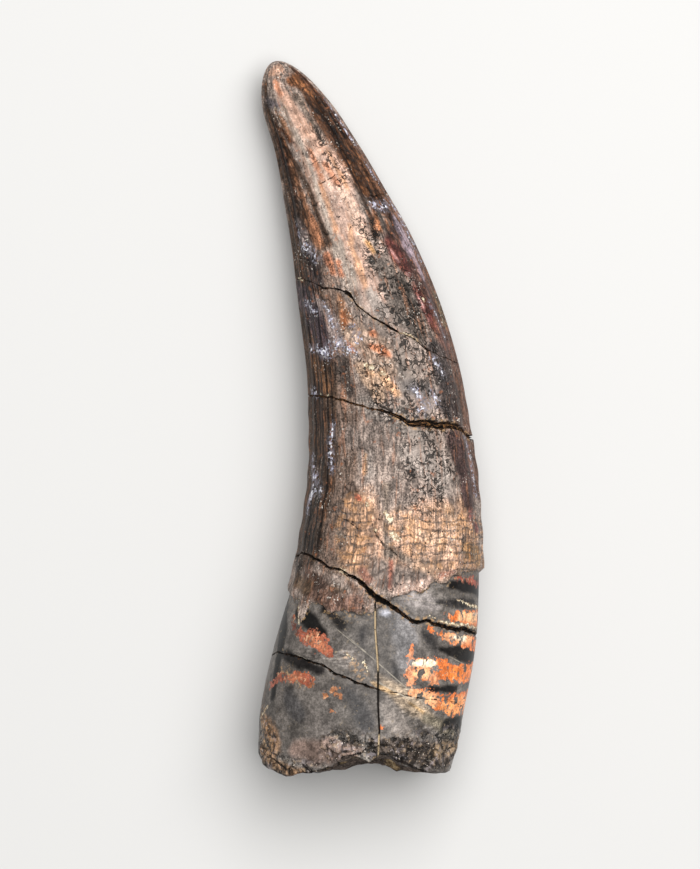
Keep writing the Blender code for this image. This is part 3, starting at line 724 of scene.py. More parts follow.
PAINTS: dict[Ground, GroundPaint] = {}
PAINTS[Ground.ENAMEL_COLOUR] = GroundPaint("8f7f75", (
    # The tan foot of the crown, and the taupe above it.
    ("bf9b83", 1.6, ((112, -8.6, 1.2), (104, -11.5, 2), (84, -12.5, 2.6), (60, -11.5, 3), (52, -14, 2.6))),
    ("a8856c", 1.4, ((36, -9, 1), (28, -11.5, 1.8), (22, -14.5, 1.8)), ((118, -14.8, 1), (108, -15.6, 1))),
    ("82776f", 1.2, ((112, 1.6, 1), (90, 0.2, 1.2), (70, -1, 1.6))),
    # The dark concave side, and the wine-brown convex side: their own dark enamel, made darker
    # as painted shade where the flanks turn away from the light.
    ("715f54", 1.2, ((130, 20, 0.8), (127, 8, 1.6), (127, -4, 2), (128, -10, 2.4), (128, -14, 2.2))),
    ("4f3d31", 0.6,
     ((160, 35, 0.6), (158, 26, 1.8), (157, 10, 3), (157, 3, 3.6), (160, -6, 3.8), (160, -13, 3))),
    ("63493d", 1.2, ((20, 34, 0.8), (22, 24, 2), (20, 14, 2.8), (14, 4, 2.6), (10, -6, 2.8))),
    ("5e483f", 2.0, ((220, 30, 1.6), (225, 10, 4), (230, -10, 5))),
    ("57413a", 2.0, ((325, 28, 1.6), (325, 10, 3.4), (330, -8, 3.6))),
    ("4c4043", 1.0, ((170, 13, 1.4), (152, 11, 2.2), (140, 8, 1.6))),
    ("463c3a", 0.8, ((136, 16.5, 0.9), (138, 14.6, 1))),
    # The worn tip: a broad pale band between dark valleys, and a brown right side. The pale band is
    # partly the enamel's own pale tone and partly painted sheen of the light on the upper flank.
    ("66422b", 0.7,
     ((84, 35.4, 0.6), (62, 35.4, 1.1), (44, 35.2, 1.3), (46, 31, 1.9), (38, 25, 2.3), (32, 22, 1.6))),
    ("96623f", 0.5,
     ((64, 35.6, 0.5), (50, 34.2, 0.4)), ((30, 27.5, 0.35), (34, 24.6, 0.3)),
     ((51, 26.4, 0.35), (52, 23.6, 0.4))),
    ("8d6349", 0.6,
     ((144, 29.1, 0.3), (138, 26.4, 0.5), (135, 23.8, 0.55), (131, 21.2, 0.6), (127, 18.4, 0.8))),
    ("4a2f24", 0.5, ((155, 29.1, 0.5), (150, 26.4, 0.6), (149, 23.3, 0.6), (152, 19.6, 0.6))),
    # Partly painted sheen: these pale patches down the upper flank lie lighter where the broad highlight
    # falls.
    ("c6a08b", 0.8, ((120, 35.2, 0.5), (108, 32.8, 0.8), (99, 30.4, 1.2), (92, 27.8, 1.9), (91, 25.3, 2.3))),
    ("b99b8b", 0.8,
     ((91, 25.3, 2.2), (92, 22.8, 2.2), (92, 20.3, 2.1), (90, 17.8, 1.9), (88, 15.7, 1.5), (86, 12.5, 1.2))),
    ("a8988b", 0.6,
     ((124, 33, 0.3), (115, 30.6, 0.3), (110, 27.6, 0.35), (109, 23, 0.4), (107, 18, 0.6), (102, 14.2, 0.8))),
    ("75665b", 0.5, ((86, 33.6, 0.5), (83, 32, 0.35), (78, 28.8, 0.25))),
    ("cfae9a", 0.4, ((100, 29, 0.4), (96, 24.6, 0.5)), ((82, 26.5, 0.5), (79, 22.4, 0.6), (80, 18.6, 0.55))),
    ("cf9273", 0.4,
     ((121, 35.2, 0.4), (117, 34.1, 0.4)), ((102, 28, 0.35), (100, 25, 0.3)),
     ((88, 26.4, 0.4), (84, 24.6, 0.3))),
    ("bd9174", 0.35, ((104, 24.5, 0.22), (103, 19.5, 0.28)), ((78, 28, 0.25), (74, 24, 0.25))),
    # Painted shade: grey where the concave side of the tip lies in shadow.
    ("696060", 0.5, ((150, 33.2, 0.6), (130, 32.8, 0.5))),
    ("66503f", 0.4, ((131, 31.4, 0.4), (125, 29.8, 0.4))),
    ("b28f7b", 0.3, ((140, 36.2, 0.4), (115, 36.5, 0.55), (86, 36.9, 0.35))),
    ("301d12", 0.35, ((70, 33, 0.15), (58, 31.8, 0.3), (53, 30, 0.42), (58, 27.6, 0.22), (60, 22, 0.22))),
    ("352013", 0.35,
     ((34, 31.5, 0.8), (26, 30, 0.7)), ((46, 33.6, 0.16), (44, 29, 0.16)), ((46, 28, 0.14), (45, 23, 0.14))),
    ("3a271b", 0.35, ((148, 31.6, 0.35), (143, 28.5, 0.4), (129, 26.3, 0.34))),
    ("4b3a2f", 0.45, ((129, 26.3, 0.3), (121, 24, 0.34), (119, 21.4, 0.36), (114, 18.2, 0.28))),
    ("96664a", 0.35, ((127, 21, 0.32), (124, 18.6, 0.35))),
    ("43342b", 0.35,
     ((62, 24.2, 0.28), (61, 21.4, 0.34), (65, 18.8, 0.32)), ((150, 28, 0.2), (146, 20, 0.35))),
    ("a9714f", 0.4, ((53, 22.2, 0.38), (57, 19.8, 0.45)), ((44, 20.6, 0.3), (47, 18.8, 0.35))),
    # Dark brown on the convex edge by the tip: partly the enamel's own colour, partly painted shade on that
    # edge.
    ("452817", 0.5,
     ((40, 36.6, 0.6), (30, 35, 0.8), (26, 33, 0.7), (26, 30, 0.4)), ((136, 30.2, 0.3), (128, 29, 0.3))),
    # The upper crown: grey, tan and orange strips, and the red-brown right side.
    ("a87055", 0.4, ((119, 16.8, 0.4), (117, 15.2, 0.4)), ((109, 16.2, 0.3), (109, 14.9, 0.25))),
    ("cb9c7c", 0.4, ((93, 18.2, 0.25), (91, 15.6, 0.42), (90, 13, 0.3)), ((88, 20, 0.3), (92, 18.2, 0.25))),
    ("bf905f", 0.4, ((76, 18.2, 0.42), (73, 17.4, 0.3))),
    ("6e635b", 0.8, ((76, 16, 0.8), (68, 15, 1.1), (66, 12.6, 1.1), (66, 10.4, 0.9))),
    ("5f453e", 1.0, ((42, 18.6, 1.4), (34, 15.6, 1.6), (24, 11.5, 1.8), (22, 8, 1.5))),
    ("653832", 0.6,
     ((53, 18.2, 0.7), (48, 16.8, 1.1), (43, 15.8, 0.8)), ((41, 13, 0.8), (37, 11.6, 1.1), (35, 9.8, 0.8))),
    # Painted highlights: pink glints on the crimson patches.
    ("c08d86", 0.35,
     ((53, 17.4, 0.18), (50, 16.4, 0.24)), ((42, 12.6, 0.2), (40, 11.6, 0.26)), ((46, 15, 0.18),),
     ((38, 10.2, 0.2),)),
    ("4b433d", 0.8, ((56, 14, 1), (52, 10.6, 1.2), (54, 8.8, 0.9))),
    ("988b82", 0.7, ((86, 12.8, 0.9), (84, 10.6, 0.8))),
    ("62503c", 0.5, ((8, 12.8, 0.7), (8, 10, 0.7))),
    ("b58565", 0.5, ((115, 12.6, 0.35), (113, 9.8, 0.8))),
    ("c77c50", 0.4, ((115, 10.8, 0.3), (114, 8.8, 0.5), (112, 7.2, 0.45))),
    ("96857f", 0.7,
     ((140, 12.2, 0.5), (129, 10.4, 0.8), (123, 8, 0.8)),
     ((148, 20.4, 0.5), (143, 18.6, 0.6), (134, 17.4, 0.4))),
    # Painted sheen: a mauve-grey haze along the convex edge of the upper crown.
    ("a5929a", 0.6, ((24, 20.8, 0.8), (25, 18, 0.9), (22, 14.8, 0.4))),
    # Between the upper and the belly cracks.
    ("b89c88", 0.8, ((108, 8.8, 1.3), (96, 7.4, 1.5), (84, 5.8, 1.6))),
    ("c07b58", 0.4,
     ((93, 8.8, 0.35),), ((96, 7.4, 0.25), (88, 7, 0.5), (84, 6.6, 0.3)),
     ((78, 7.2, 0.25), (77, 6.2, 0.3), (74, 5.2, 0.25))),
    ("4b413b", 0.6, ((124, 5.8, 0.9), (121, 3, 0.8))),
    ("ae917a", 0.6, ((106, 5, 0.9), (99, 3.8, 1.1), (97, 2.4, 0.7))),
    ("c89e7c", 0.5, ((100, 4.6, 0.35),), ((92, 4.6, 0.4), (87, 3.4, 0.45), (83, 2.6, 0.25))),
    ("93857b", 0.7, ((74, 6.8, 1), (72, 3.6, 1))),
    ("4b423f", 1.0, ((40, 7, 1.4), (36, 4, 1.8), (34, 1, 1.8))),
    ("6f6661", 0.8, ((72, 3.4, 0.8), (56, 3, 1))),
    ("443834", 0.8, ((24, 3, 1), (28, -1.6, 1.1), (26, -5, 1))),
    # Below the belly crack: taupe, then the details of the tan foot.
    ("694a33", 0.6, ((160, 6, 0.9), (150, 4.6, 1.2), (144, 3.2, 0.8))),
    ("9b8e85", 0.9, ((78, -4, 1.2), (60, -5, 1.8), (54, -6.6, 1.4)), ((108, -4, 0.7), (108, -5.6, 0.7))),
    ("a58062", 0.3, ((109, -3.8, 0.22), (110, -5.8, 0.22))),
    ("443330", 0.8, ((38, -2.2, 1.4), (28, -5.6, 1.6), (26, -8.6, 1.4))),
    ("74675f", 1.0, ((124, -1.8, 1.2), (98, -2.4, 1))),
    ("3b2a20", 0.8, ((160, 2.8, 1.2), (152, 0, 1.3))),
    ("cfa382", 1.0,
     ((119, -8.8, 0.7), (110, -9.6, 1.1), (113, -11.4, 1.1), (114, -13.4, 1.1), (113, -15, 0.8)),
     ((80, -10.2, 0.5), (78, -12, 0.6))),
    ("cda88c", 0.7,
     ((70, -11.8, 0.6), (58, -12.6, 0.8)), ((72, -15.2, 0.7), (58, -15.6, 0.6)),
     ((50, -9.6, 0.6), (46, -11, 0.6))),
    ("937250", 0.8, ((32, -13.6, 0.9), (16, -14.4, 1.1))),
    ("6f4743", 0.8, ((26, -10.2, 0.7), (16, -11.6, 0.7))),
    ("7c6d61", 0.6,
     ((95, -7, 0.35), (94, -12, 0.35), (90, -14, 0.6)), ((126, -12, 0.4), (121, -12.4, 0.2)),
     ((84, -14.2, 0.4), (77, -14.6, 0.4))),
    ("d97f60", 0.2, ((115, -8.1, 0.22), (113, -8.4, 0.2))),
    ("ad6d59", 0.25, ((89, -14.9, 0.2), (88, -17.4, 0.24))),
    ("ad7c6a", 0.5, ((106, -15.8, 0.5), (102, -16.8, 0.4)), ((56, -16.2, 0.3), (46, -15.9, 0.3))),
    ("40342c", 1.0, ((160, -9, 2.2), (148, -13, 1.5), (146, -14.8, 1))),
    ("40342c", 0.6, ((168, -12.8, 1.4), (164, -15.6, 1.2))),
    ("664f44", 0.9, ((146, -16.8, 1.3), (124, -18.6, 1.4))),
    ("7d6256", 0.8, ((118, -19, 0.9), (106, -19.2, 1))),
    ("665241", 0.7, ((160, -17, 0.8), (144, -17.6, 0.7)), ((124, -17.6, 0.4), (116, -17.8, 0.3))),
    ("d6b8a8", 0.7, ((84, -17.6, 0.5), (66, -17, 0.6))),
    ("6b5548", 0.4, ((114, -16.9, 0.3), (108, -17.6, 0.4))),
    ("a5866f", 1.6, ((210, -10, 2), (250, -11, 3), (300, -12, 3))),
    ("ad9582", 1.2, ((268, 34, 0.6), (262, 25, 1.6), (258, 14, 1.8))),
))

PAINTS[Ground.ROOT_COLOUR] = GroundPaint("625c57", (
    ("7c7877", 1.2, ((80, -20.8, 0.9), (74, -23, 1.3), (72, -25.4, 0.9))),
    ("857d79", 1.0, ((78, -18.9, 0.7), (64, -19.2, 1.1), (56, -19.2, 0.6))),
    ("6b645f", 1.0, ((106, -24.4, 0.9), (95, -25.4, 0.8)), ((120, -31.2, 1), (110, -32.2, 1))),
    ("807770", 1.0, ((77, -29.5, 0.8), (71, -31, 1.2), (66, -32.4, 1))),
    ("988672", 0.8,
     ((86, -26.5, 0.25), (79, -27.4, 0.55), (70, -28.7, 0.85), (60, -30, 0.8), (48, -31, 0.5))),
    ("6c6456", 0.8, ((52, -31, 0.5), (38, -31.9, 0.7), (23, -32.8, 0.7))),
    ("4a4746", 1.0,
     ((100, -28.2, 0.7), (92, -30, 0.8), (86, -31.6, 0.7)), ((138, -28.8, 0.8), (128, -30.6, 0.9))),
    ("33302f", 0.9,
     ((99, -21.8, 0.4), (98, -23.4, 0.3)), ((62, -22.2, 0.5), (52, -24.2, 0.4)),
     ((78, -25, 0.2), (74, -27, 0.2))),
    ("191716", 0.5,
     ((174, -19.8, 1.2), (160, -22.8, 1.2), (157, -25.2, 0.9), (154, -28.8, 0.6)),
     ((148, -20.2, 0.6), (133, -21, 0.9), (123, -22.4, 0.6))),
    ("201d1c", 0.5,
     ((150, -24.6, 0.6), (134, -25.3, 0.6), (118, -26, 0.4)), ((126, -19.6, 0.5), (112, -21.4, 0.5))),
    ("151313", 0.4,
     ((46, -17.3, 0.5), (24, -17.6, 0.8), (2, -17.8, 0.9)), ((52, -28, 0.4), (30, -28.1, 0.5))),
    ("191716", 0.4,
     ((50, -23.9, 0.3), (37, -24.3, 0.7), (10, -24.9, 0.8)), ((34, -31.8, 0.6), (12, -31.7, 0.8))),
    ("2e2b2a", 0.4, ((56, -19, 0.3), (40, -19.2, 0.5), (20, -19.3, 0.6))),
    ("ad8f6a", 0.25,
     ((88, -27.2, 0.14), (82, -27.8, 0.22), (74, -28.4, 0.14)), ((64, -29.4, 0.1), (54, -30.4, 0.12))),
    ("54483f", 0.7, ((170, -28, 0.9), (168, -30.6, 1))),
    ("a27c5b", 1.0, ((164, -31.4, 0.6), (150, -32.6, 1.1), (147, -34.4, 0.9))),
    ("96775c", 0.5, ((162, -34.6, 0.7), (146, -35.8, 0.6), (124, -36.9, 0.5))),
    ("75635a", 0.9, ((128, -34.2, 1), (106, -34.4, 1.4), (92, -34.4, 0.8))),
    ("50463f", 0.9, ((76, -34.2, 1.1), (46, -34.9, 1.4), (24, -35, 1.3))),
    ("85705a", 0.7, ((40, -34.4, 0.7), (26, -34.4, 0.9), (10, -34, 0.8))),
    ("120e0c", 0.35, ((82, -34.6, 0.35), (72, -35, 0.4), (60, -35.1, 0.22))),
    ("9d9ca2", 0.3, ((90, -20.1, 0.32), (86, -20.2, 0.3))),
    ("8f877f", 0.4, ((87, -34.9, 0.45), (83, -35.6, 0.35))),
    ("5f5750", 1.8, ((220, -28, 3), (270, -30, 3.4), (320, -30, 3))),
))

PAINTS[Ground.MINERAL_COLOUR] = GroundPaint("e07a42", (
    ("9c5140", 0.6, ((40, -16.6, 0.8), (6, -17.4, 1.2))),
    ("a35c46", 0.8, ((160, -22, 1.6), (116, -24, 2.2)), ((160, -27.6, 1.4), (124, -27.2, 1.2))),
    ("74463a", 0.5, ((156, -20.8, 0.6), (143, -22.2, 0.5))),
    ("bb7556", 0.5, ((130, -22.8, 0.5), (119, -23.8, 0.5)), ((140, -26.8, 0.3), (132, -26.8, 0.3))),
    ("a9714e", 0.4, ((118, -28.2, 1.1), (101, -28.6, 1), (105, -30.6, 0.8))),
    ("e59a70", 0.7, ((68, -24.4, 0.5), (66, -27.2, 0.6)), ((54, -26.8, 0.6), (48, -27.6, 0.5))),
    ("eda678", 0.6, ((64, -28.4, 0.6), (48, -29.2, 0.9)), ((46, -22.6, 0.5), (22, -23, 0.5))),
    ("f7bd8c", 0.5,
     ((62, -26.4, 0.5), (56, -26.2, 0.4)), ((36, -20.6, 0.5), (14, -20.8, 0.5)),
     ((60, -28.8, 0.3), (50, -29, 0.3))),
    # Partly painted highlight: pale yellow where the light glints off the glossy orange mineral.
    ("fff2d4", 0.4,
     ((67, -25.3, 0.3), (60, -25.2, 0.45), (54, -25.4, 0.35)), ((40, -22.7, 0.2), (30, -22.8, 0.3))),
    ("f2853f", 0.6, ((38, -26.5, 0.7), (10, -26.6, 0.9))),
    ("ffa666", 0.6, ((38, -30, 0.8), (6, -29.8, 0.9))),
    ("dfc9b4", 0.3, ((20, -20.4, 0.15), (6, -20.4, 0.2))),
))


@dataclass(frozen=True)
class Row:
    """A row of the mesh, part of the way from one line round the tooth to the next."""

    lower: Callable[[np.ndarray], np.ndarray]
    upper: Callable[[np.ndarray], np.ndarray]
    share: float

    def along(self, turn: np.ndarray) -> np.ndarray:
        """The lower line blended with the upper one by the share."""
        return (1.0 - self.share) * self.lower(turn) + self.share * self.upper(turn)


@dataclass(frozen=True)
class Placed:
    """An object in the frame, and how far its drawn form was moved in X and Y, in millimetres."""

    item: bpy.types.Object
    shift: np.ndarray


@dataclass(frozen=True)
class Tooth:
    """The whole tooth: one closed surface, its markings and its ground colours."""

    name: str = "fossil_tooth"
    sections: Sections = Sections()
    relief: Relief = Relief()
    broken_end: BrokenEnd = BrokenEnd()
    cracks: tuple = (ROOT_CRACK, LOWER_CRACK, BELLY_CRACK, UPPER_CRACK, TIP_CRACK)
    rows_between: tuple = (50, 40, 98, 56, 66, 60)
    rows_beside_crack: tuple = (-3.0, -2.0, -1.4, -1.0, -0.7, -0.35, 0.0, 0.35, 0.7, 1.0, 1.4, 2.0, 3.0)
    tip_row_crowding: float = 1.5
    columns_beside_split: tuple = (0.25, 0.5, 0.8, 1.2, 1.8, 2.6)
    # Degrees from the split where the columns change pace, and how many there are in each stretch.
    flank_reach: float = 95.0
    flank_columns: int = 70
    underside_columns: int = 60
    tip_facet_point: tuple = (-10.2, 36.7, 5.6)
    tip_facet_facing: tuple = (-0.45, 0.55, 0.7)
    # The depths in mm where a crack is shut and open, and where its rim is whole and crumbled.
    open_depths: tuple = (0.02, 0.16)
    crumbled_depths: tuple = (0.3, 0.6)
    rim_reach: tuple = (-0.4, -0.05)
    # The turns between which the belly crack is filled, how wide the fill is, and how far it fills the gap.
    filled_turns: tuple = (8.0, 22.0, 66.0, 84.0)
    fill_half_share: float = 0.3
    fill_depth_share: float = 0.8
    fill_edge: tuple = (-0.06, 0.02)
    # The stretches of the split that cream mineral fills, and how its ends fade, in mm along.
    split_fills: tuple = ((-26.2, -19.6), (-35.4, -32.5))
    split_fill_fade: float = 0.3
    split_end_fade: float = 0.4

    def rows(self) -> list[Row]:
        """The rows of the wall from the broken rim to the tip.

        Returns:
            The rim, then for each crack even rows up to it and rows held at shares of its half width,
            then rows crowded towards the tip.
        """
        lower = self.broken_end.along
        rows = [Row(lower, lower, 0.0)]
        for crack, count in zip(self.cracks, self.rows_between):
            upper = partial(crack.beside, self.rows_beside_crack[0])
            rows += [Row(lower, upper, step / (count + 1)) for step in range(1, count + 1)]
            for side in self.rows_beside_crack:
                lower = partial(crack.beside, side)
                rows.append(Row(lower, lower, 0.0))
        count = self.rows_between[-1]
        steps = np.arange(1, count + 1) / (count + 1)
        shares = 1.0 - (1.0 - steps) ** self.tip_row_crowding
        return rows + [Row(lower, self.tip_level, float(share)) for share in shares]

    def tip_level(self, turn: np.ndarray) -> np.ndarray:
        """The along of the tip at every turn."""
        return np.full(np.shape(turn), self.sections.tip_along)

    def column_offsets(self) -> np.ndarray:
        """Degrees from the split to each column, once round, closest together beside the split."""
        near = np.array(self.columns_beside_split)
        flank = np.linspace(near[-1], self.flank_reach, self.flank_columns + 1)[1:]
        underside = np.linspace(self.flank_reach, TURN - self.flank_reach, self.underside_columns + 2)[1:-1]
        return np.concatenate([[0.0], near, flank, underside, TURN - flank[::-1], TURN - near[::-1]])

    def wall(self) -> tuple[np.ndarray, np.ndarray]:
        """Turns and alongs of the wall, one row of the arrays for each row of the mesh."""
        offsets = self.column_offsets()
        whole_turn = np.arange(0.0, TURN, 10.0)
        turns, alongs = [], []
        for row in self.rows():
            turn = offsets + self.relief.split_turn(np.mean(row.along(whole_turn)))
            turns.append(turn)
            alongs.append(row.along(turn))
        return np.array(turns), np.array(alongs)

    def crack_fields(self, turn: np.ndarray, along: np.ndarray) -> dict:
        """Read all the cracks together.

        Args:
            turn: Turns in degrees.
            along: Places along the tooth.

        Returns:
            Under "cracked", how deep the surface is cracked; millimetres inside the nearest gap, negative
            outside it; a mask beside the deep cracks, where their rims have crumbled; and millimetres
            inside the brown fill that stands in the middle of the belly crack.
        """
        deep = np.zeros(turn.shape)
        rim = np.zeros(turn.shape)
        inside = np.full(turn.shape, DEPTH_FLOOR)
        for crack in self.cracks:
            deep += crack.depth(turn, along)
            full_depth = crack.column(turn, 3)
            is_open = ramp(full_depth, *self.open_depths)
            gap = (is_open - np.abs(crack.side(turn, along))) * crack.column(turn, 2)
            inside = np.maximum(inside, gap)
            rim = np.maximum(rim, ramp(full_depth, *self.crumbled_depths) * ramp(gap, *self.rim_reach))
        side = np.abs(BELLY_CRACK.side(turn, along))
        first, full, last_full, last = self.filled_turns
        held = ramp(turn % TURN, first, full) * ramp(turn % TURN, last, last_full)
        fill = (self.fill_half_share * held - side) * BELLY_CRACK.column(turn, 2)
        deep -= self.fill_depth_share * BELLY_CRACK.depth(turn, along) * ramp(fill, *self.fill_edge)
        return {"cracked": deep, Mark.CRACK: inside, Mark.CRACK_RIM: rim, Mark.CRACK_FILL: fill}

    def split_fields(self, turn: np.ndarray, along: np.ndarray) -> dict:
        """Read the split up the root.

        Args:
            turn: Turns in degrees.
            along: Places along the tooth.

        Returns:
            Millimetres across from the split, far off above its upper end, and a mask of its cream fills.
        """
        off_split = (turn - self.relief.split_turn(along) + 180.0) % TURN - 180.0
        across = off_split * self.sections.value(along, 2) * np.pi / 180.0
        top = self.relief.split_path[-1][0]
        above = ramp(along, top, top + self.split_end_fade)
        filled = np.zeros(turn.shape)
        for low, high in self.split_fills:
            risen = ramp(along, low, low + self.split_fill_fade)
            filled = np.maximum(filled, risen * ramp(along, high, high - self.split_fill_fade))
        return {Mark.SPLIT: across * (1.0 - above) - above * DEPTH_FLOOR, Mark.SPLIT_FILL: filled}

    def fields(self, turn: np.ndarray, along: np.ndarray, places: np.ndarray) -> dict:
        """Work out every marking over the wall.

        Args:
            turn: Turns in degrees.
            along: Places along the tooth.
            places: The same places on the bare sections, in millimetres.

        Returns:
            An array for each member of Mark, and the depth of the cracks under "cracked".
        """
        fields = {mark: marking.field(self.sections, turn, along) for mark, marking in MARKINGS.items()}
        fields.update(self.crack_fields(turn, along))
        fields.update(self.split_fields(turn, along))
        fields[Mark.ENAMEL] = self.relief.above_border(turn, along, places)
        fields[Mark.BROKEN] = np.zeros(turn.shape)
        return fields

    def build(self) -> Placed:
        """Work out the surface and put it into a mesh.

        Returns:
            The object, and how far the drawn form was moved to lie in the frame.
        """
        turn, along = self.wall()
        bare = self.sections.points(turn, along)
        marks = self.fields(turn, along, bare)
        out = self.relief.height(turn, along, bare, marks) - marks.pop("cracked")
        out = out * self.sections.round_the_tip(along)
        wall = bare + out[..., None] * self.sections.outward(turn, along)
        rings, shares = self.broken_end.ring_points(wall[0], turn[0])
        middle = rings[0].mean(axis=0)
        tip = self.sections.points(np.zeros(1), np.full(1, self.sections.tip_along))[0]
        grid = np.concatenate([rings, wall])
        points = np.concatenate([grid.reshape(-1, 3), [middle, tip]])
        points = wear_flat(points, self.tip_facet_point, self.tip_facet_facing)
        points = wear_flat(points, (0.0, 0.0, 0.0), (0.0, 0.0, -1.0))
        low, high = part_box("tooth")
        drawn_middle = 0.5 * (points.max(axis=0) + points.min(axis=0))[:2]
        shift = 0.5 * (np.array(low) + np.array(high))[:2] / MILLIMETRE - drawn_middle
        points[:, :2] += shift
        mesh = grid_mesh(self.name, points * MILLIMETRE, *grid.shape[:2])
        self.add_attributes(mesh, turn, along, marks, shares)
        tooth = bpy.data.objects.new(self.name, mesh)
        bpy.context.scene.collection.objects.link(tooth)
        return Placed(tooth, shift)

    def add_attributes(
        self, mesh: bpy.types.Mesh, turn: np.ndarray, along: np.ndarray, marks: dict, shares: np.ndarray
    ) -> None:
        """Store what the finish reads on every point.

        Args:
            mesh: The mesh, whose points are the rings, then the wall, then the two poles.
            turn: Turns of the wall.
            along: Places of the wall along the tooth.
            marks: The markings of the wall.
            shares: Of each ring, the share of the way out from the middle.
        """
        straight = self.sections.straightened(turn, along)
        angle = np.radians(turn)
        roundness = np.stack([np.cos(angle), 0.0 * angle, np.sin(angle)], axis=-1)
        for mark, values in marks.items():
            inner = self.as_rim(values, shares)
            if mark is Mark.BROKEN:
                inner = np.broadcast_to(1.0 - shares[:, None], inner.shape)
            store(mesh, mark.value, "FLOAT", self.with_rings(values, inner))
        inner = straight[0] * np.stack([shares, np.ones_like(shares), shares], axis=-1)[:, None, :]
        store(mesh, Ground.STRAIGHT.value, "FLOAT_VECTOR", self.with_rings(straight, inner))
        rings = self.as_rim(roundness, shares)
        store(mesh, Ground.ROUND.value, "FLOAT_VECTOR", self.with_rings(roundness, rings))
        for ground, paint in PAINTS.items():
            colour = paint.colours(self.sections, turn, along, self.sections.points(turn, along))
            rings = self.as_rim(colour, shares)
            store(mesh, ground.value, "FLOAT_COLOR", self.with_rings(colour, rings))

    def as_rim(self, wall: np.ndarray, shares: np.ndarray) -> np.ndarray:
        """The values of the rim for every ring inside it."""
        return np.broadcast_to(wall[0], (len(shares),) + wall[0].shape)

    def with_rings(self, wall: np.ndarray, rings: np.ndarray) -> np.ndarray:
        """Values of all the points: the rings, the wall, and the two poles, each as the ring next to it."""
        first, last = rings[0].mean(axis=0), wall[-1].mean(axis=0)
        grid = np.concatenate([rings, wall]).reshape((-1,) + wall.shape[2:])
        return np.concatenate([grid, [first], [last]])


@dataclass(frozen=True)
class Grain:
    """Soft random grains: their size in mm, which noise, and its levels where they are 0 and 1."""

    size: float
    seed: float
    low: float = 0.34
    high: float = 0.66


@dataclass(frozen=True)
class Rags:
    """A ragged edge: the size and reach of its rags in mm, and which noise.

    The edge itself is twice soft wide, and the middle of the rags lies inset inside the marking, in mm.
    """

    size: float
    reach: float
    seed: float
    soft: float = 0.05
    inset: float = 0.0


@dataclass(frozen=True)
class Touch:
    """What a pattern does: what it multiplies the colour by where it is 0 and 1, and mm of relief at 1."""

    low: float = 1.0
    high: float = 1.0
    height: float = 0.0


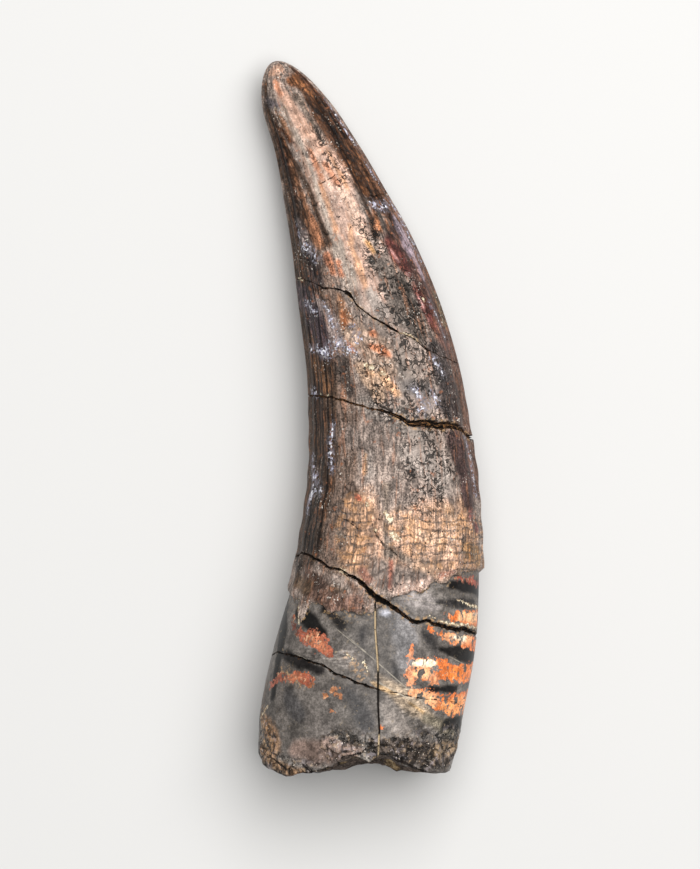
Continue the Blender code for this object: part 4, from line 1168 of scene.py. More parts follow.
class NodeSheet:
    """A material's node tree, with the places and turns that its patterns are drawn on."""

    fibre_stretch: float = 0.12
    noise_roughness: float = 0.6
    worm_distortion: float = 0.8

    def __init__(self, name: str) -> None:
        """Start a material of this name."""
        self.material = bpy.data.materials.new(name)
        self.material.use_nodes = True
        self.tree = self.material.node_tree
        self.shader = self.tree.nodes["Principled BSDF"]
        # Millimetres in space, millimetres on the straightened tooth, and those drawn out along it.
        self.own = self.scaled(self.add("ShaderNodeTexCoord", output="Object"), 1 / MILLIMETRE)
        self.straight = self.add("ShaderNodeAttribute", attribute_name=Ground.STRAIGHT.value, output="Vector")
        self.fibres = self.stretched(self.straight, (1.0, self.fibre_stretch, 1.0))
        self.along = self.part(self.straight, "Y")
        roundness = self.add("ShaderNodeAttribute", attribute_name=Ground.ROUND.value, output="Vector")
        self.turn = self.math("ARCTAN2", self.part(roundness, "Z"), self.part(roundness, "X"))

    def add(self, kind: str, inputs: dict | None = None, output: int | str = 0, **settings: object) -> Socket:
        """Add one node with its settings and links.

        Args:
            kind: The node's type.
            inputs: For each input, by its name or number, a socket to link or a value to set.
            output: The name or number of the output to use.
            **settings: The node's own settings.

        Returns:
            That output.
        """
        node = self.tree.nodes.new(kind)
        for name, value in settings.items():
            setattr(node, name, value)
        for name, value in (inputs or {}).items():
            if isinstance(value, Socket):
                self.tree.links.new(value, node.inputs[name])
            else:
                node.inputs[name].default_value = value
        return node.outputs[output]

    def math(self, operation: str, *values: Socket | float) -> Socket:
        """One step of arithmetic on sockets and numbers."""
        return self.add("ShaderNodeMath", dict(enumerate(values)), operation=operation)

    def part(self, vector: Socket, axis: str) -> Socket:
        """X, Y or Z of a vector."""
        return self.add("ShaderNodeSeparateXYZ", {0: vector}, output=axis)

    def scaled(self, vector: Socket, factor: Socket | float) -> Socket:
        """A vector or colour times a factor."""
        return self.add("ShaderNodeVectorMath", {0: vector, "Scale": factor}, operation="SCALE")

    def stretched(self, places: Socket, scale: tuple, turned: float = 0.0) -> Socket:
        """Places turned about Z by so many radians after they are scaled along X, Y and Z."""
        inputs = {"Vector": places, "Rotation": (0.0, 0.0, turned), "Scale": scale}
        return self.add("ShaderNodeMapping", inputs)

    def reading(self, kind: Mark | Ground) -> Socket:
        """One of the markings, or one of the ground colours."""
        output = "Fac" if isinstance(kind, Mark) else "Color"
        return self.add("ShaderNodeAttribute", attribute_name=kind.value, output=output)

    def noise(self, places: Socket, size: float, seed: float, detail: float) -> Socket:
        """Noise about 0.5, with this many finer sizes added."""
        inputs = {"Vector": places, "W": seed, "Scale": 1 / size, "Detail": detail}
        inputs["Roughness"] = self.noise_roughness
        return self.add(NOISE, inputs, noise_dimensions="4D")

    def grains(self, grain: Grain, places: Socket | None = None) -> Socket:
        """Draw soft random grains.

        Args:
            grain: Their size, noise and levels.
            places: Where they are drawn, in millimetres. Unless given, they are drawn in space.

        Returns:
            Noise with two finer sizes added, read through a smooth ramp between the levels.
        """
        noise = self.noise(self.own if places is None else places, grain.size, grain.seed, 2.0)
        return self.smooth(noise, grain.low, grain.high)

    def ragged(self, depth: Socket, rags: Rags) -> Socket:
        """Give a marking a ragged edge.

        Args:
            depth: Millimetres inside the marking.
            rags: Their size, reach and noise.

        Returns:
            1 inside and 0 outside, by a ramp over the depth with noise added.
        """
        noise = self.noise(self.own, rags.size, rags.seed, 3.0)
        moved = self.math("MULTIPLY_ADD", noise, 4 * rags.reach, -2 * rags.reach - rags.inset)
        return self.smooth(self.math("ADD", depth, moved), -rags.soft, rags.soft)

    def worms(self, size: float, seed: float, half: float) -> tuple[Socket, Socket]:
        """Draw thin winding lines, as beetle tracks or hair cracks.

        Args:
            size: About how far apart they are, in millimetres.
            seed: Which noise.
            half: Half their width, as a step of that noise.

        Returns:
            1 on the lines where noise passes its middle value, and the noise less that value.
        """
        inputs = {"Vector": self.own, "W": seed, "Scale": 1 / size, "Detail": 1.0}
        inputs["Distortion"] = self.worm_distortion
        noise = self.add(NOISE, inputs, noise_dimensions="4D")
        centred = self.math("SUBTRACT", noise, 0.5)
        return self.smooth(self.math("ABSOLUTE", centred), half, 0.55 * half), centred

    def edges(self, places: Socket, scale: float) -> Socket:
        """How far each place is from the border of its random cell."""
        inputs = {"Vector": places, "Scale": scale}
        return self.add("ShaderNodeTexVoronoi", inputs, feature="DISTANCE_TO_EDGE")

    def smooth(self, value: Socket, low: float, high: float) -> Socket:
        """Read a value through a smooth ramp from 0 at low to 1 at high."""
        inputs = {"Value": value, "From Min": low, "From Max": high}
        return self.add(RAMP, inputs, interpolation_type="SMOOTHSTEP")

    def hump(self, value: Socket, levels: tuple) -> Socket:
        """1 between the two middle levels of a value, falling smoothly to 0 at the two outer ones."""
        low, full, last_full, high = levels
        return self.times(self.smooth(value, high, last_full), self.smooth(value, low, full))

    def straight_ramp(self, value: Socket, start: tuple, end: tuple = (0.0, 1.0)) -> Socket:
        """Read a value through a straight ramp, from the first pair of levels to the second pair."""
        names = ("Value", "From Min", "From Max", "To Min", "To Max")
        return self.add(RAMP, dict(zip(names, (value, *start, *end))))

    def mix(self, factor: Socket | float, first: Socket | float, second: Socket | float) -> Socket:
        """The first number where the factor is 0 and the second where it is 1."""
        return self.add(MIX, {"Factor": factor, 2: first, 3: second}, data_type="FLOAT")

    def blend(self, factor: Socket, first: Socket | str, second: Socket | str) -> Socket:
        """The first colour where the factor is 0 and the second where it is 1."""
        first, second = (linear_colour(c) if isinstance(c, str) else c for c in (first, second))
        return self.add(MIX, {"Factor": factor, 6: first, 7: second}, output=2, data_type="RGBA")

    def times(self, *factors: Socket | float) -> Socket:
        """Multiply any number of sockets and numbers together."""
        total = factors[0]
        for factor in factors[1:]:
            total = self.math("MULTIPLY", total, factor)
        return total


class Coat:
    """The colour, roughness and relief of one substance, built up in layers."""

    def __init__(self, sheet: NodeSheet, colour: Socket, roughness: Socket | float) -> None:
        """Start from a ground colour and a roughness, with no relief."""
        self.sheet = sheet
        self.colour = colour
        self.roughness = roughness
        self.lift: Socket | float = 0.0

    def touch(self, pattern: Socket, touch: Touch) -> None:
        """Shade the colour by a pattern, and raise the relief by it."""
        if (touch.low, touch.high) != (1.0, 1.0):
            factor = self.sheet.straight_ramp(pattern, (0.0, 1.0), (touch.low, touch.high))
            self.colour = self.sheet.scaled(self.colour, factor)
        if touch.height != 0.0:
            self.lift = self.sheet.math("MULTIPLY_ADD", pattern, touch.height, self.lift)

    def cover(self, mask: Socket, colour: Socket | str, roughness: Socket | float | None = None) -> None:
        """Lay another colour, and if it is given another roughness, over the coat where the mask is 1."""
        self.colour = self.sheet.blend(mask, self.colour, colour)
        if roughness is not None:
            self.roughness = self.sheet.mix(mask, self.roughness, roughness)

    def mottle(self, layers: tuple, *weights: Socket, places: Socket | None = None) -> None:
        """Shade and raise the coat by grains. Each layer has its grain and its touch."""
        for grain, touch in layers:
            self.touch(self.sheet.times(self.sheet.grains(grain, places), *weights), touch)

    def sprinkle(self, layers: tuple, *weights: Socket, places: Socket | None = None) -> None:
        """Cover the coat with grains. Each layer has its grain, how much it covers, and its colour."""
        for grain, share, colour in layers:
            self.cover(self.sheet.times(self.sheet.grains(grain, places), *weights, share), colour)

    def over(self, lower: "Coat", mask: Socket) -> "Coat":
        """This coat where the mask is 1, and the lower one elsewhere."""
        colour = self.sheet.blend(mask, lower.colour, self.colour)
        both = Coat(self.sheet, colour, self.sheet.mix(mask, lower.roughness, self.roughness))
        both.lift = self.sheet.mix(mask, lower.lift, self.lift)
        return both


@dataclass(frozen=True)
class EnamelFinish:
    """Fossil enamel, mineralised in the ground and polished by wear. It has a low gloss over fine grain.

    Its wrinkles and grain are about 0.1 mm apart. They are drawn twice as coarse, so that they show.
    """

    roughness: float = 0.45
    mottles: tuple = ((Grain(2.2, 1.0), Touch(0.86, 1.15)), (Grain(0.75, 1.2), Touch(0.72, 1.28)))
    rust: tuple = ((Grain(0.38, 1.4, 0.54, 0.68), 0.34, "a9714f"),)
    fibre: Grain = Grain(0.21, 2.0, 0.38, 0.62)
    fibre_touch: Touch = Touch(0.58, 1.32, 0.03)
    grain: Grain = Grain(0.17, 3.0)
    grain_touch: Touch = Touch(0.52, 1.44, 0.03)
    # How far the grain and fibres fade where the enamel is polished and where it is in granules.
    polish: float = 0.55
    calm: float = 0.6
    # Granules and their joints. The joints fade between two places along the tooth.
    granule_width: float = 0.46
    granule_length: float = 0.8
    granule: tuple = ((Grain(1.0, 3.4, 0.52, 0.66), Touch(1.0, 1.4, 0.05)),)
    joint: Grain = Grain(1.0, 3.4, 0.47, 0.38)
    joint_touch: Touch = Touch(1.0, 0.28, -0.05)
    cell_scale: float = 0.8
    cell_edge: tuple = (0.19, 0.07)
    cell_share: float = 0.9
    joint_alongs: tuple = (10.0, 20.0)
    joint_shares: tuple = (0.78, 1.0)
    # Growth bands across the foot of the crown, and the cells and fibres between them.
    band_pitch: float = 0.88
    band_waver: Grain = Grain(2.4, 4.0)
    band_sway: float = 0.5
    band_edge: tuple = (0.5, 0.95)
    band_gaps: Grain = Grain(1.0, 5.0, 0.34, 0.54)
    band_share: float = 0.66
    band_touch: Touch = Touch(height=-0.05)
    band_cell: tuple = ((Grain(0.9, 5.8, 0.46, 0.6), 0.42, "cc9664"),)
    band_fibre: tuple = ((Grain(0.26, 5.5, 0.48, 0.4), 0.58, "564f4b"),)
    # Valleys between the ribs: how many go round, and how dark they are, near the tip and below.
    flute_count: int = 21
    flute_touch: Touch = Touch(1.0, 0.32, -0.06)
    rib_count: int = 63
    rib_touch: Touch = Touch(1.0, 0.2, -0.06)
    rib_phase: float = 95.0
    rib_waver: Grain = Grain(0.9, 6.0)
    rib_sway: float = 1.8
    rib_edge: tuple = (-0.15, -0.8)
    flute_alongs: tuple = (14.0, 20.0)
    # Etched tracks and hair cracks, by their size, noise and half width, and ring pits.
    track: tuple = (0.62, 7.0, 0.055)
    track_gaps: Grain = Grain(1.3, 8.0, 0.45, 0.52)
    track_touch: Touch = Touch(1.0, 0.16, -0.1)
    track_rim: tuple = (0.03, 0.07, 0.08, 0.14)
    track_rim_touch: Touch = Touch(1.0, 1.55, 0.04)
    ring_spacing: float = 1.9
    ring_radii: tuple = (0.1, 0.16, 0.21, 0.28)
    ring_gaps: Grain = Grain(0.4, 8.5, 0.47, 0.55)
    hair: tuple = (1.7, 9.0, 0.014)
    hair_gaps: tuple = ((Grain(2.6, 10.0, 0.48, 0.56), Touch(1.0, 0.35)),)
    # Rusty and dark flecks, single grains too small to be given a place, and clusters of pale
    # specks that are painted glints, small highlights on the glossy enamel.
    flecks: tuple = (
        (Grain(0.6, 10.6, 0.62, 0.74), 0.45, "b5734f"),
        (Grain(0.26, 12.0, 0.62, 0.7), 1.0, "231813"),
    )
    painted_glints: tuple = ((Grain(0.22, 11.0, 0.6, 0.68), 0.8, "e6dbcf"),)
    glint_cluster: Grain = Grain(2.0, 11.5, 0.5, 0.62)

    def coat(self, sheet: NodeSheet) -> Coat:
        """Lay the enamel.

        Args:
            sheet: The material's nodes.

        Returns:
            The ground colour with mottle, fibres, granules, bands, dark valleys between the ribs, winding
            tracks with pale rims, hair cracks and pale specks painted as glints over it.
        """
        coat = Coat(sheet, sheet.reading(Ground.ENAMEL_COLOUR), self.roughness)
        coat.mottle(self.mottles)
        coat.sprinkle(self.rust, places=sheet.fibres)
        self.lay_granules(sheet, coat)
        self.lay_bands(sheet, coat)
        coat.touch(self.worn_smooth(sheet, sheet.grains(self.fibre, sheet.fibres)), self.fibre_touch)
        coat.touch(self.worn_smooth(sheet, sheet.grains(self.grain)), self.grain_touch)
        self.lay_ribs(sheet, coat)
        self.lay_tracks(sheet, coat)
        coat.mottle(self.hair_gaps, sheet.worms(*self.hair)[0])
        coat.sprinkle(self.flecks)
        # Painted glints: clusters of pale specks that stand for small highlights on the enamel.
        coat.sprinkle(self.painted_glints, sheet.grains(self.glint_cluster))
        return coat

    def worn_smooth(self, sheet: NodeSheet, pattern: Socket) -> Socket:
        """Draw a pattern in towards its middle value where the enamel is polished or in granules."""
        granules = sheet.times(sheet.reading(Mark.CELLED), self.calm)
        worn = sheet.times(sheet.reading(Mark.POLISHED), self.polish)
        return sheet.mix(sheet.math("MAXIMUM", worn, granules), pattern, 0.5)

    def lay_granules(self, sheet: NodeSheet, coat: Coat) -> None:
        """Long granules with dark joints, from noise and cell borders drawn out along the tooth."""
        scale = (1 / self.granule_width, 1 / self.granule_length, 1 / self.granule_width)
        places = sheet.stretched(sheet.straight, scale)
        weight = sheet.reading(Mark.CELLED)
        coat.mottle(self.granule, weight, places=places)
        edge = sheet.smooth(sheet.edges(places, self.cell_scale), *self.cell_edge)
        joint = sheet.math("MAXIMUM", sheet.grains(self.joint, places), sheet.times(edge, self.cell_share))
        fresh = sheet.straight_ramp(sheet.along, self.joint_alongs, self.joint_shares)
        coat.touch(sheet.times(joint, weight, fresh), self.joint_touch)

    def lay_bands(self, sheet: NodeSheet, coat: Coat) -> None:
        """Growth lines across the foot of the crown, a wavy sine of the along, in a net of grey fibres."""
        weight = sheet.reading(Mark.BANDED)
        waved = sheet.math("MULTIPLY_ADD", sheet.grains(self.band_waver), self.band_sway, sheet.along)
        wave = sheet.math("SINE", sheet.times(waved, 2 * np.pi / self.band_pitch))
        line = sheet.times(sheet.smooth(wave, *self.band_edge), sheet.grains(self.band_gaps), weight)
        coat.sprinkle(self.band_cell, weight)
        coat.cover(sheet.times(line, self.band_share), "4c4541")
        coat.touch(line, self.band_touch)
        coat.sprinkle(self.band_fibre, weight, places=sheet.fibres)

    def lay_ribs(self, sheet: NodeSheet, coat: Coat) -> None:
        """Dark valleys between the ribs by cosines of the turn, wide near the tip and fine lower down."""
        weight = sheet.reading(Mark.RIBBED)
        near_tip = sheet.straight_ramp(sheet.along, self.flute_alongs)
        below = sheet.math("SUBTRACT", 1.0, near_tip)
        waver = sheet.times(sheet.grains(self.rib_waver, sheet.fibres), self.rib_sway)
        for count, share, touch in (
            (self.flute_count, near_tip, self.flute_touch),
            (self.rib_count, below, self.rib_touch),
        ):
            phase = sheet.math("MULTIPLY_ADD", sheet.turn, float(count), -np.radians(count * self.rib_phase))
            wave = sheet.math("COSINE", sheet.math("ADD", phase, waver))
            coat.touch(sheet.times(sheet.smooth(wave, *self.rib_edge), share, weight), touch)

    def lay_tracks(self, sheet: NodeSheet, coat: Coat) -> None:
        """Winding etched tracks with a pale rim on one side, and broken ring pits."""
        weight = sheet.reading(Mark.PITTED)
        line, centred = sheet.worms(*self.track)
        kept = sheet.times(sheet.grains(self.track_gaps), weight)
        pale = sheet.times(sheet.hump(centred, self.track_rim), kept)
        coat.touch(pale, self.track_rim_touch)
        places = sheet.scaled(sheet.own, 1 / self.ring_spacing)
        from_pit = sheet.add("ShaderNodeTexVoronoi", {"Vector": places, "Scale": 1.0})
        rings = sheet.times(sheet.hump(from_pit, self.ring_radii), sheet.grains(self.ring_gaps), weight)
        coat.touch(sheet.math("MAXIMUM", sheet.times(line, kept), rings), self.track_touch)


@dataclass(frozen=True)
class RootFinish:
    """Fossil dentine of the root, black with manganese and polished: a soft gloss and fine scratches."""

    roughness: float = 0.4
    # Two sizes of mottle, then grain about 0.1 mm across, which is drawn at 0.17 mm so that it shows.
    mottles: tuple = (
        (Grain(1.9, 21.0), Touch(0.68, 1.28)),
        (Grain(0.6, 21.5), Touch(0.74, 1.28)),
        (Grain(0.17, 22.0), Touch(0.7, 1.32)),
    )
    dust: tuple = ((Grain(0.3, 23.0, 0.6, 0.7), 0.5, "98866c"),)
    dust_patch: Grain = Grain(2.2, 24.0, 0.46, 0.6)
    strewn: Grain = Grain(0.38, 23.5, 0.5, 0.6)
    strewn_share: float = 0.8
    strewn_tone: Grain = Grain(0.24, 23.8)
    # Brushed streaks, drawn out down to the right.
    brush_turn: float = 38.0
    brush_stretch: float = 0.12
    brushes: tuple = (
        (Grain(0.24, 22.4, 0.5, 0.62), Touch(1.0, 1.7)),
        (Grain(0.3, 22.7, 0.48, 0.38), Touch(1.0, 0.5)),
    )
    # Each scratch has its two ends in mm, as the camera sees them in the drawn frame, and its half width.
    scratches: tuple = (
        ((-2.6, -22.3), (6.6, -30.4), 0.035),
        ((-4.0, -21.4), (0.0, -24.6), 0.025),
        ((0.4, -27.0), (4.4, -29.2), 0.06),
        ((2.2, -18.4), (8.0, -19.4), 0.02),
        ((-8.2, -24.2), (-5.2, -25.6), 0.03),
        ((8.0, -24.6), (9.8, -25.6), 0.025),
    )
    scratch_heights: tuple = (8.0, 10.0)
    scratch_gaps: Grain = Grain(0.7, 25.0, 0.4, 0.6)
    scratch_shares: tuple = (0.25, 0.75)
    # Where a scratch fades: across it in half widths, and along it in shares of its length.
    scratch_edge: tuple = (2.2, 0.6)
    scratch_ends: tuple = (0.5, 0.35)
    mineral_roughness: float = 0.36
    mineral_rags: Rags = Rags(0.75, 0.55, 26.0, soft=0.08)
    islands: Grain = Grain(0.7, 27.0, 0.62, 0.55)
    tongues: Grain = Grain(0.5, 27.5, 0.68, 0.6)
    tongue_stretch: float = 0.4
    pinholes: Grain = Grain(0.26, 27.8, 0.33, 0.41)
    mineral_mottles: tuple = ((Grain(0.6, 28.0), Touch(0.7, 1.22)), (Grain(0.18, 28.5), Touch(0.74, 1.2)))
    # Pale yellow grains on the orange mineral: partly its own tone, partly painted glints.
    mineral_bloom_and_glints: tuple = ((Grain(0.45, 29.5, 0.56, 0.7), 0.6, "f0c49c"),)
    mineral_fibres: tuple = ((Grain(0.3, 29.0), Touch(0.8, 1.14)),)
    # Lilac, tan and pale grit, and its lumps and crevices.
    grit: tuple = (
        (Grain(0.8, 32.0, 0.54, 0.64), 0.5, "8f8586"),
        (Grain(0.44, 30.0, 0.55, 0.64), 0.4, "a38b70"),
    )
    pale_grit: tuple = ((Grain(0.2, 33.0, 0.63, 0.7), 0.9, "e0d3c6"),)
    grit_lumps: tuple = (
        (Grain(0.7, 31.0, 0.5, 0.64), Touch(1.0, 1.45, 0.08)),
        (Grain(0.7, 31.0, 0.48, 0.4), Touch(1.0, 0.3, -0.12)),
    )
    # Dark outlines round the lumps: cells this far apart, whose places are warped by noise.
    cell_spacing: float = 0.95
    cell_edge: tuple = (0.13, 0.03)
    warp_size: float = 0.9
    warp_seed: float = 34.0
    warp_share: float = 0.12
    outlines: tuple = ((Grain(1.1, 35.0, 0.42, 0.52), Touch(1.0, 0.32, -0.1)),)

    def coat(self, sheet: NodeSheet, shift: np.ndarray) -> Coat:
        """Lay the dentine.

        Args:
            sheet: The material's nodes.
            shift: How far the drawn form was moved in X and Y, in mm.

        Returns:
            The ground colour with mottle and grain, dust, brushed streaks, scratches, orange mineral
            patches and grit near the broken rim over it.
        """
        coat = Coat(sheet, sheet.reading(Ground.ROOT_COLOUR), self.roughness)
        coat.mottle(self.mottles)
        coat.sprinkle(self.dust, sheet.grains(self.dust_patch))
        strewn = sheet.times(sheet.grains(self.strewn), sheet.reading(Mark.SPECKLED), self.strewn_share)
        coat.cover(strewn, sheet.blend(sheet.grains(self.strewn_tone), "8a6b4c", "c9a681"))
        self.lay_streaks(sheet, coat)
        self.lay_scratches(sheet, coat, shift)
        self.lay_mineral(sheet, coat)
        self.lay_grit(sheet, coat)
        return coat

    def lay_streaks(self, sheet: NodeSheet, coat: Coat) -> None:
        """Brushed streaks across the olive patch, noise drawn out down to the right."""
        brushed = sheet.stretched(sheet.own, (self.brush_stretch, 1.0, 1.0), np.radians(self.brush_turn))
        coat.mottle(self.brushes, sheet.reading(Mark.STREAKED), places=brushed)

    def lay_scratches(self, sheet: NodeSheet, coat: Coat, shift: np.ndarray) -> None:
        """Straight pale scratches, each a thin upright slab cut off at both ends."""
        upper = sheet.straight_ramp(sheet.part(sheet.own, "Z"), self.scratch_heights)
        kept = sheet.straight_ramp(sheet.grains(self.scratch_gaps), (0.0, 1.0), self.scratch_shares)
        for start, end, half in self.scratches:
            first = np.array(start) + shift
            run = np.array(end) + shift - first
            length = float(np.hypot(*run))
            way = run / length
            aside = np.array((-way[1], way[0]))
            off = self.distance(sheet, aside, float(aside @ first))
            line = sheet.straight_ramp(off, tuple(half * share for share in self.scratch_edge))
            from_middle = self.distance(sheet, way, float(way @ first + 0.5 * length))
            held = sheet.straight_ramp(from_middle, tuple(length * share for share in self.scratch_ends))
            coat.cover(sheet.times(line, held, upper, kept), "a89f90")

    def distance(self, sheet: NodeSheet, way: np.ndarray, start: float) -> Socket:
        """How far each place is, along a level way, from the place that lies this far along it."""
        inputs = {0: sheet.own, 1: (float(way[0]), float(way[1]), 0.0)}
        reach = sheet.add("ShaderNodeVectorMath", inputs, output="Value", operation="DOT_PRODUCT")
        return sheet.math("ABSOLUTE", sheet.math("SUBTRACT", reach, start))

    def lay_mineral(self, sheet: NodeSheet, coat: Coat) -> None:
        """Orange iron minerals with ragged edges, dark islands and dark tongues along the tooth."""
        drawn_out = sheet.stretched(sheet.own, (1.0, self.tongue_stretch, 1.0))
        mask = sheet.times(
            sheet.ragged(sheet.reading(Mark.ORANGE), self.mineral_rags),
            sheet.grains(self.islands),
            sheet.grains(self.tongues, drawn_out),
            sheet.grains(self.pinholes),
        )
        mineral = Coat(sheet, sheet.reading(Ground.MINERAL_COLOUR), self.mineral_roughness)
        mineral.mottle(self.mineral_mottles)
        # Pale grains that are partly the mineral's own tone and partly painted glints.
        mineral.sprinkle(self.mineral_bloom_and_glints)
        mineral.mottle(self.mineral_fibres, places=sheet.fibres)
        coat.cover(mask, mineral.colour, mineral.roughness)

    def lay_grit(self, sheet: NodeSheet, coat: Coat) -> None:
        """Sandy lumps, tan, lilac and pale grains, with dark crevices, near the broken rim."""
        weight = sheet.reading(Mark.GRITTY)
        coat.sprinkle(self.grit, weight)
        warp = sheet.noise(sheet.own, self.warp_size, self.warp_seed, 2.0)
        inputs = {"Factor": self.warp_share, 4: sheet.own, 5: warp}
        warped = sheet.add(MIX, inputs, output=1, data_type="VECTOR")
        outline = sheet.smooth(sheet.edges(warped, 1 / self.cell_spacing), *self.cell_edge)
        coat.mottle(self.outlines, outline, weight)
        coat.mottle(self.grit_lumps, weight)
        coat.sprinkle(self.pale_grit, weight)


@dataclass(frozen=True)
class CrustFinish:
    """Chalky lavender crusts in scattered flecks over a thin haze, and cream grains."""

    haze_edge: tuple = (-0.8, 0.3)
    haze: Grain = Grain(0.42, 42.0, 0.44, 0.6)
    haze_share: float = 0.6
    haze_roughness: float = 0.6
    clump: Grain = Grain(0.75, 43.5, 0.42, 0.54)
    fleck_rags: Rags = Rags(0.27, 1.1, 43.0, soft=0.12, inset=0.15)
    fleck_share: float = 0.9
    fleck_touch: Touch = Touch(height=0.05)
    chalk_tone: Grain = Grain(0.24, 44.0, 0.42, 0.62)
    chalk_roughness: float = 0.85
    pale_rags: Rags = Rags(0.24, 0.24, 45.0, soft=0.06)
    pale_tone: Grain = Grain(0.3, 46.0, 0.42, 0.6)
    pale_roughness: float = 0.6
    pale_touch: Touch = Touch(height=0.06)

    def lay(self, sheet: NodeSheet, coat: Coat) -> None:
        """Lay the crusts and the grains over a coat."""
        depth = sheet.reading(Mark.CRUST)
        haze = sheet.times(sheet.smooth(depth, *self.haze_edge), sheet.grains(self.haze), self.haze_share)
        coat.cover(haze, "8a858e", self.haze_roughness)
        flecks = sheet.times(sheet.ragged(depth, self.fleck_rags), sheet.grains(self.clump))
        chalk = sheet.blend(sheet.grains(self.chalk_tone), "a9a6bb", "f6f5fa")
        coat.cover(sheet.times(flecks, self.fleck_share), chalk, self.chalk_roughness)
        coat.touch(flecks, self.fleck_touch)
        pale = sheet.ragged(sheet.reading(Mark.PALE), self.pale_rags)
        coat.cover(pale, sheet.blend(sheet.grains(self.pale_tone), "a98f72", "f3e6c8"), self.pale_roughness)
        coat.touch(pale, self.pale_touch)


@dataclass(frozen=True)
class CrackFinish:
    """Black gaps with crumbs of tan on their rims, the fill of the belly crack, and the split up the root."""

    crumb: Grain = Grain(0.42, 49.0, 0.5, 0.6)
    crumb_share: float = 0.85
    crumb_roughness: float = 0.6
    hair_rags: Rags = Rags(0.35, 0.08, 49.5, soft=0.04)
    hair_share: float = 0.9
    hair_touch: Touch = Touch(height=-0.08)
    gap_rags: Rags = Rags(0.45, 0.16, 50.0)
    gap_tone: Grain = Grain(0.4, 50.5, 0.5, 0.66)
    gap_roughness: float = 0.9
    fill_rags: Rags = Rags(0.34, 0.26, 51.0)
    fill_tone: Grain = Grain(0.2, 51.5, 0.44, 0.6)
    # The fill's fibres are drawn out across the tooth.
    fill_stretch: float = 0.3
    fill_roughness: float = 0.7
    # How far from the middle of the split its dark gap and its cream fill fade, in mm.
    split_edge: tuple = (0.13, 0.07)
    cream_edge: tuple = (0.12, 0.06)
    cream_gaps: Grain = Grain(0.4, 52.0, 0.3, 0.46)

    def lay(self, sheet: NodeSheet, coat: Coat) -> None:
        """Lay the cracks over a coat."""
        crumbs = sheet.times(sheet.reading(Mark.CRACK_RIM), sheet.grains(self.crumb), self.crumb_share)
        coat.cover(crumbs, "ac8a64", self.crumb_roughness)
        hair = sheet.ragged(sheet.reading(Mark.HAIRLINE), self.hair_rags)
        coat.cover(sheet.times(hair, self.hair_share), "120c09", self.gap_roughness)
        coat.touch(hair, self.hair_touch)
        gap = sheet.ragged(sheet.reading(Mark.CRACK), self.gap_rags)
        coat.cover(gap, sheet.blend(sheet.grains(self.gap_tone), "0b0806", "4a3322"), self.gap_roughness)
        fill = sheet.ragged(sheet.reading(Mark.CRACK_FILL), self.fill_rags)
        tone = sheet.grains(self.fill_tone, sheet.stretched(sheet.own, (self.fill_stretch, 1.0, 1.0)))
        coat.cover(fill, sheet.blend(tone, "150b06", "9c7046"), self.fill_roughness)
        off = sheet.math("ABSOLUTE", sheet.reading(Mark.SPLIT))
        coat.cover(sheet.straight_ramp(off, self.split_edge), "15110f", self.gap_roughness)
        cream = sheet.straight_ramp(off, self.cream_edge)
        held = sheet.times(cream, sheet.reading(Mark.SPLIT_FILL), sheet.grains(self.cream_gaps))
        coat.cover(held, "b7a384", self.fill_roughness)


@dataclass(frozen=True)
class BreakFinish:
    """The rough break: a brown dentine wall with growth rings, round a sandy fill with pale grains.

    Its depths run from 0 at the rim to 1 in the middle.
    """

    edge: tuple = (0.02, 0.08)
    roughness: float = 0.85
    waver: Grain = Grain(1.8, 47.5)
    waver_reach: float = 0.07
    fill_edge: tuple = (0.42, 0.45)
    mottles: tuple = ((Grain(0.9, 47.0), Touch(0.6, 1.4)), (Grain(0.25, 48.0), Touch(0.55, 1.42)))
    ring_rate: float = 110.0
    ring_edge: tuple = (0.2, 0.9)
    ring_depths: tuple = (0.42, 0.36)
    ring_gaps: tuple = ((Grain(1.1, 48.2, 0.42, 0.58), Touch(1.0, 0.62)),)
    joint_depths: tuple = (0.39, 0.42, 0.44, 0.47)
    joint_touch: Touch = Touch(1.0, 0.45)
    pale_grains: tuple = ((Grain(0.42, 48.5, 0.58, 0.64), 1.0, "c2ab88"),)
    dark_grains: tuple = ((Grain(0.36, 48.8, 0.62, 0.68), 1.0, "241c18"),)
    bumps: tuple = ((Grain(0.55, 48.9, 0.36, 0.64), Touch(height=0.16)),)

    def lay(self, sheet: NodeSheet, coat: Coat) -> None:
        """Lay the broken end over a coat."""
        depth = sheet.reading(Mark.BROKEN)
        reach = (-self.waver_reach, self.waver_reach)
        uneven = sheet.math("ADD", depth, sheet.straight_ramp(sheet.grains(self.waver), (0.0, 1.0), reach))
        filled = sheet.smooth(uneven, *self.fill_edge)
        rough = Coat(sheet, sheet.blend(filled, "655850", "8f795c"), self.roughness)
        rough.mottle(self.mottles)
        wave = sheet.math("SINE", sheet.times(uneven, self.ring_rate))
        rings = sheet.times(sheet.smooth(wave, *self.ring_edge), sheet.smooth(uneven, *self.ring_depths))
        rough.mottle(self.ring_gaps, rings)
        rough.touch(sheet.hump(uneven, self.joint_depths), self.joint_touch)
        rough.sprinkle(self.pale_grains, filled)
        rough.sprinkle(self.dark_grains)
        mask = sheet.smooth(depth, *self.edge)
        coat.cover(mask, rough.colour, rough.roughness)
        coat.mottle(self.bumps, mask)


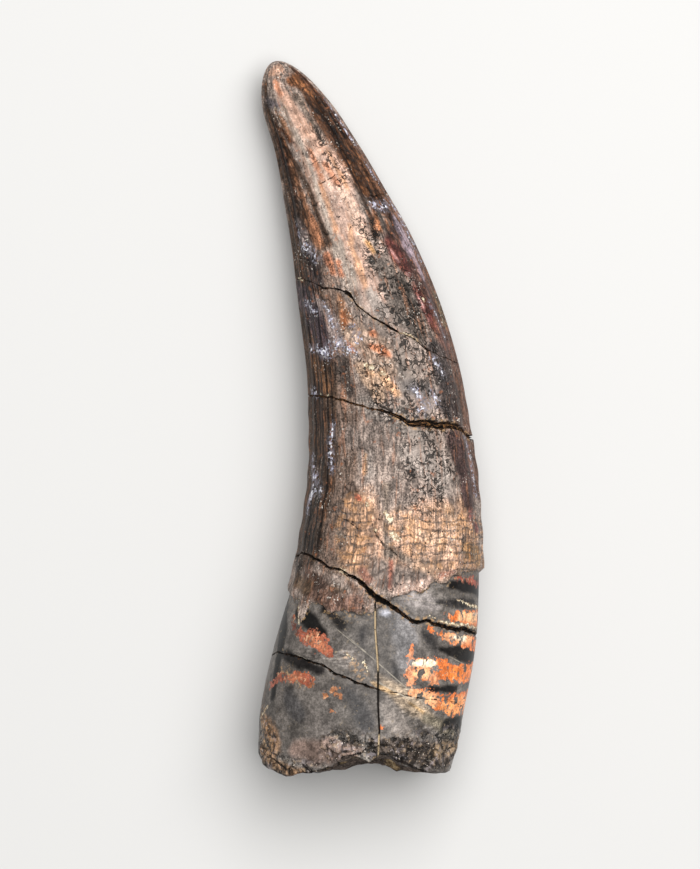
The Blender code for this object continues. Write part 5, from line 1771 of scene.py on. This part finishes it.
@dataclass(frozen=True)
class ToothFinish:
    """The whole tooth: enamel over root, crusts, cracks and the broken end."""

    ior: float = 1.5
    # Ground dust fills the fine pores of the polish, so its mirror part is weaker than clean apatite's.
    sheen: float = 0.15
    enamel_rags: Rags = Rags(0.55, 0.2, 41.0)
    # Tan crumbs about the torn lip, and a line of painted shade under it, by millimetres inside the enamel.
    crumb_depths: tuple = (-1.3, -0.1, 0.1, 0.5)
    crumbs: tuple = ((Grain(0.34, 40.0, 0.56, 0.64), 0.7, "a1835f"),)
    lip_shade_depths: tuple = (-0.3, -0.04, 0.0, 0.14)
    lip_shade_gaps: tuple = ((Grain(0.9, 40.5, 0.42, 0.56), Touch(1.0, 0.35)),)

    def material(self, shift: np.ndarray) -> bpy.types.Material:
        """Make the material.

        Args:
            shift: How far the drawn form was moved in X and Y, in mm.

        Returns:
            Fossil apatite, as found: worn enamel and dentine with iron and manganese stains.
        """
        sheet = NodeSheet("fossil apatite, worn and stained")
        root = RootFinish().coat(sheet, shift)
        depth = sheet.reading(Mark.ENAMEL)
        coat = EnamelFinish().coat(sheet).over(root, sheet.ragged(depth, self.enamel_rags))
        self.lay_border(sheet, coat, depth)
        for finish in (CrustFinish(), CrackFinish(), BreakFinish()):
            finish.lay(sheet, coat)
        inputs = {"Height": coat.lift, "Distance": MILLIMETRE, "Strength": 1.0}
        normal = sheet.add("ShaderNodeBump", inputs, output="Normal")
        for name, value in (("Base Color", coat.colour), ("Roughness", coat.roughness), ("Normal", normal)):
            sheet.tree.links.new(value, sheet.shader.inputs[name])
        sheet.shader.inputs["IOR"].default_value = self.ior
        sheet.shader.inputs["Specular IOR Level"].default_value = self.sheen
        return sheet.material

    def lay_border(self, sheet: NodeSheet, coat: Coat, depth: Socket) -> None:
        """A broken line of painted shade under the torn lip of the enamel, and tan crumbs about it."""
        coat.sprinkle(self.crumbs, sheet.hump(depth, self.crumb_depths))
        # Painted shade: a dark line at the foot of the step from enamel down to root.
        coat.mottle(self.lip_shade_gaps, sheet.hump(depth, self.lip_shade_depths))


@dataclass(frozen=True)
class Studio:
    """A pale floor, one large soft light overhead, and a camera that looks straight down."""

    # Where the picture's middle falls on the drawn form, how tall the picture is there, and the height
    # of the tooth's widest outline, in mm.
    picture_middle: tuple = (-2.14, -1.72)
    picture_height: float = 90.8
    outline_height: float = 8.0
    lens: float = 220.0
    sensor: float = 36.0
    floor_colour: str = "cccbc9"
    floor_roughness: float = 0.9
    floor_side: float = 3.0
    light_side: float = 0.55
    light_place: tuple = (0.12, 0.14, 0.52)
    light_power: float = 5.3
    sky_colour: str = "ffffff"
    sky_strength: float = 0.27

    def build(self, shift: np.ndarray) -> None:
        """Put up the floor, the lights and the camera.

        Args:
            shift: How far the drawn form was moved in X and Y, in mm.
        """
        self.lay_floor()
        self.light()
        self.aim(shift)
        bpy.context.scene.view_settings.view_transform = "Standard"

    def lay_floor(self) -> None:
        """A plain matt sheet that the tooth rests on."""
        half = 0.5 * self.floor_side
        mesh = bpy.data.meshes.new("floor")
        corners = [(-half, -half, 0.0), (half, -half, 0.0), (half, half, 0.0), (-half, half, 0.0)]
        mesh.from_pydata(corners, [], [(0, 1, 2, 3)])
        floor = bpy.data.objects.new("floor", mesh)
        bpy.context.scene.collection.objects.link(floor)
        material = bpy.data.materials.new("paper, matt")
        material.use_nodes = True
        shader = material.node_tree.nodes["Principled BSDF"]
        shader.inputs["Base Color"].default_value = linear_colour(self.floor_colour)
        shader.inputs["Roughness"].default_value = self.floor_roughness
        mesh.materials.append(material)

    def light(self) -> None:
        """A softbox overhead and an even white sky."""
        lamp = bpy.data.lights.new("softbox", "AREA")
        lamp.shape = "SQUARE"
        lamp.size = self.light_side
        lamp.energy = self.light_power
        softbox = bpy.data.objects.new("softbox", lamp)
        softbox.location = self.light_place
        softbox.rotation_euler = Vector(self.light_place).to_track_quat("Z", "Y").to_euler()
        bpy.context.scene.collection.objects.link(softbox)
        world = bpy.context.scene.world or bpy.data.worlds.new("sky")
        bpy.context.scene.world = world
        world.use_nodes = True
        sky = world.node_tree.nodes["Background"]
        sky.inputs["Color"].default_value = linear_colour(self.sky_colour)
        sky.inputs["Strength"].default_value = self.sky_strength

    def aim(self, shift: np.ndarray) -> None:
        """A long lens straight above the picture's middle, high enough to see its whole height."""
        camera = bpy.data.cameras.new("camera")
        camera.lens = self.lens
        camera.sensor_width = self.sensor
        view = bpy.data.objects.new("camera", camera)
        height = self.outline_height + self.picture_height * self.lens / self.sensor
        place = (self.picture_middle[0] + shift[0], self.picture_middle[1] + shift[1], height)
        view.location = Vector(place) * MILLIMETRE
        bpy.context.scene.collection.objects.link(view)
        bpy.context.scene.camera = view


def main() -> None:
    """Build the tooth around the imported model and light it."""
    logging.basicConfig(level=logging.INFO, format="%(message)s")
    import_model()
    placed = Tooth().build()
    tooth = placed.item
    tooth.data.materials.append(ToothFinish().material(placed.shift))
    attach(tooth, "root")
    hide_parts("tooth")
    LOG.info("%s: %d faces", tooth.name, len(tooth.data.polygons))
    Studio().build(placed.shift)
    LOG.info("studio: floor, softbox, sky and camera")


if __name__ == "__main__":
    main()
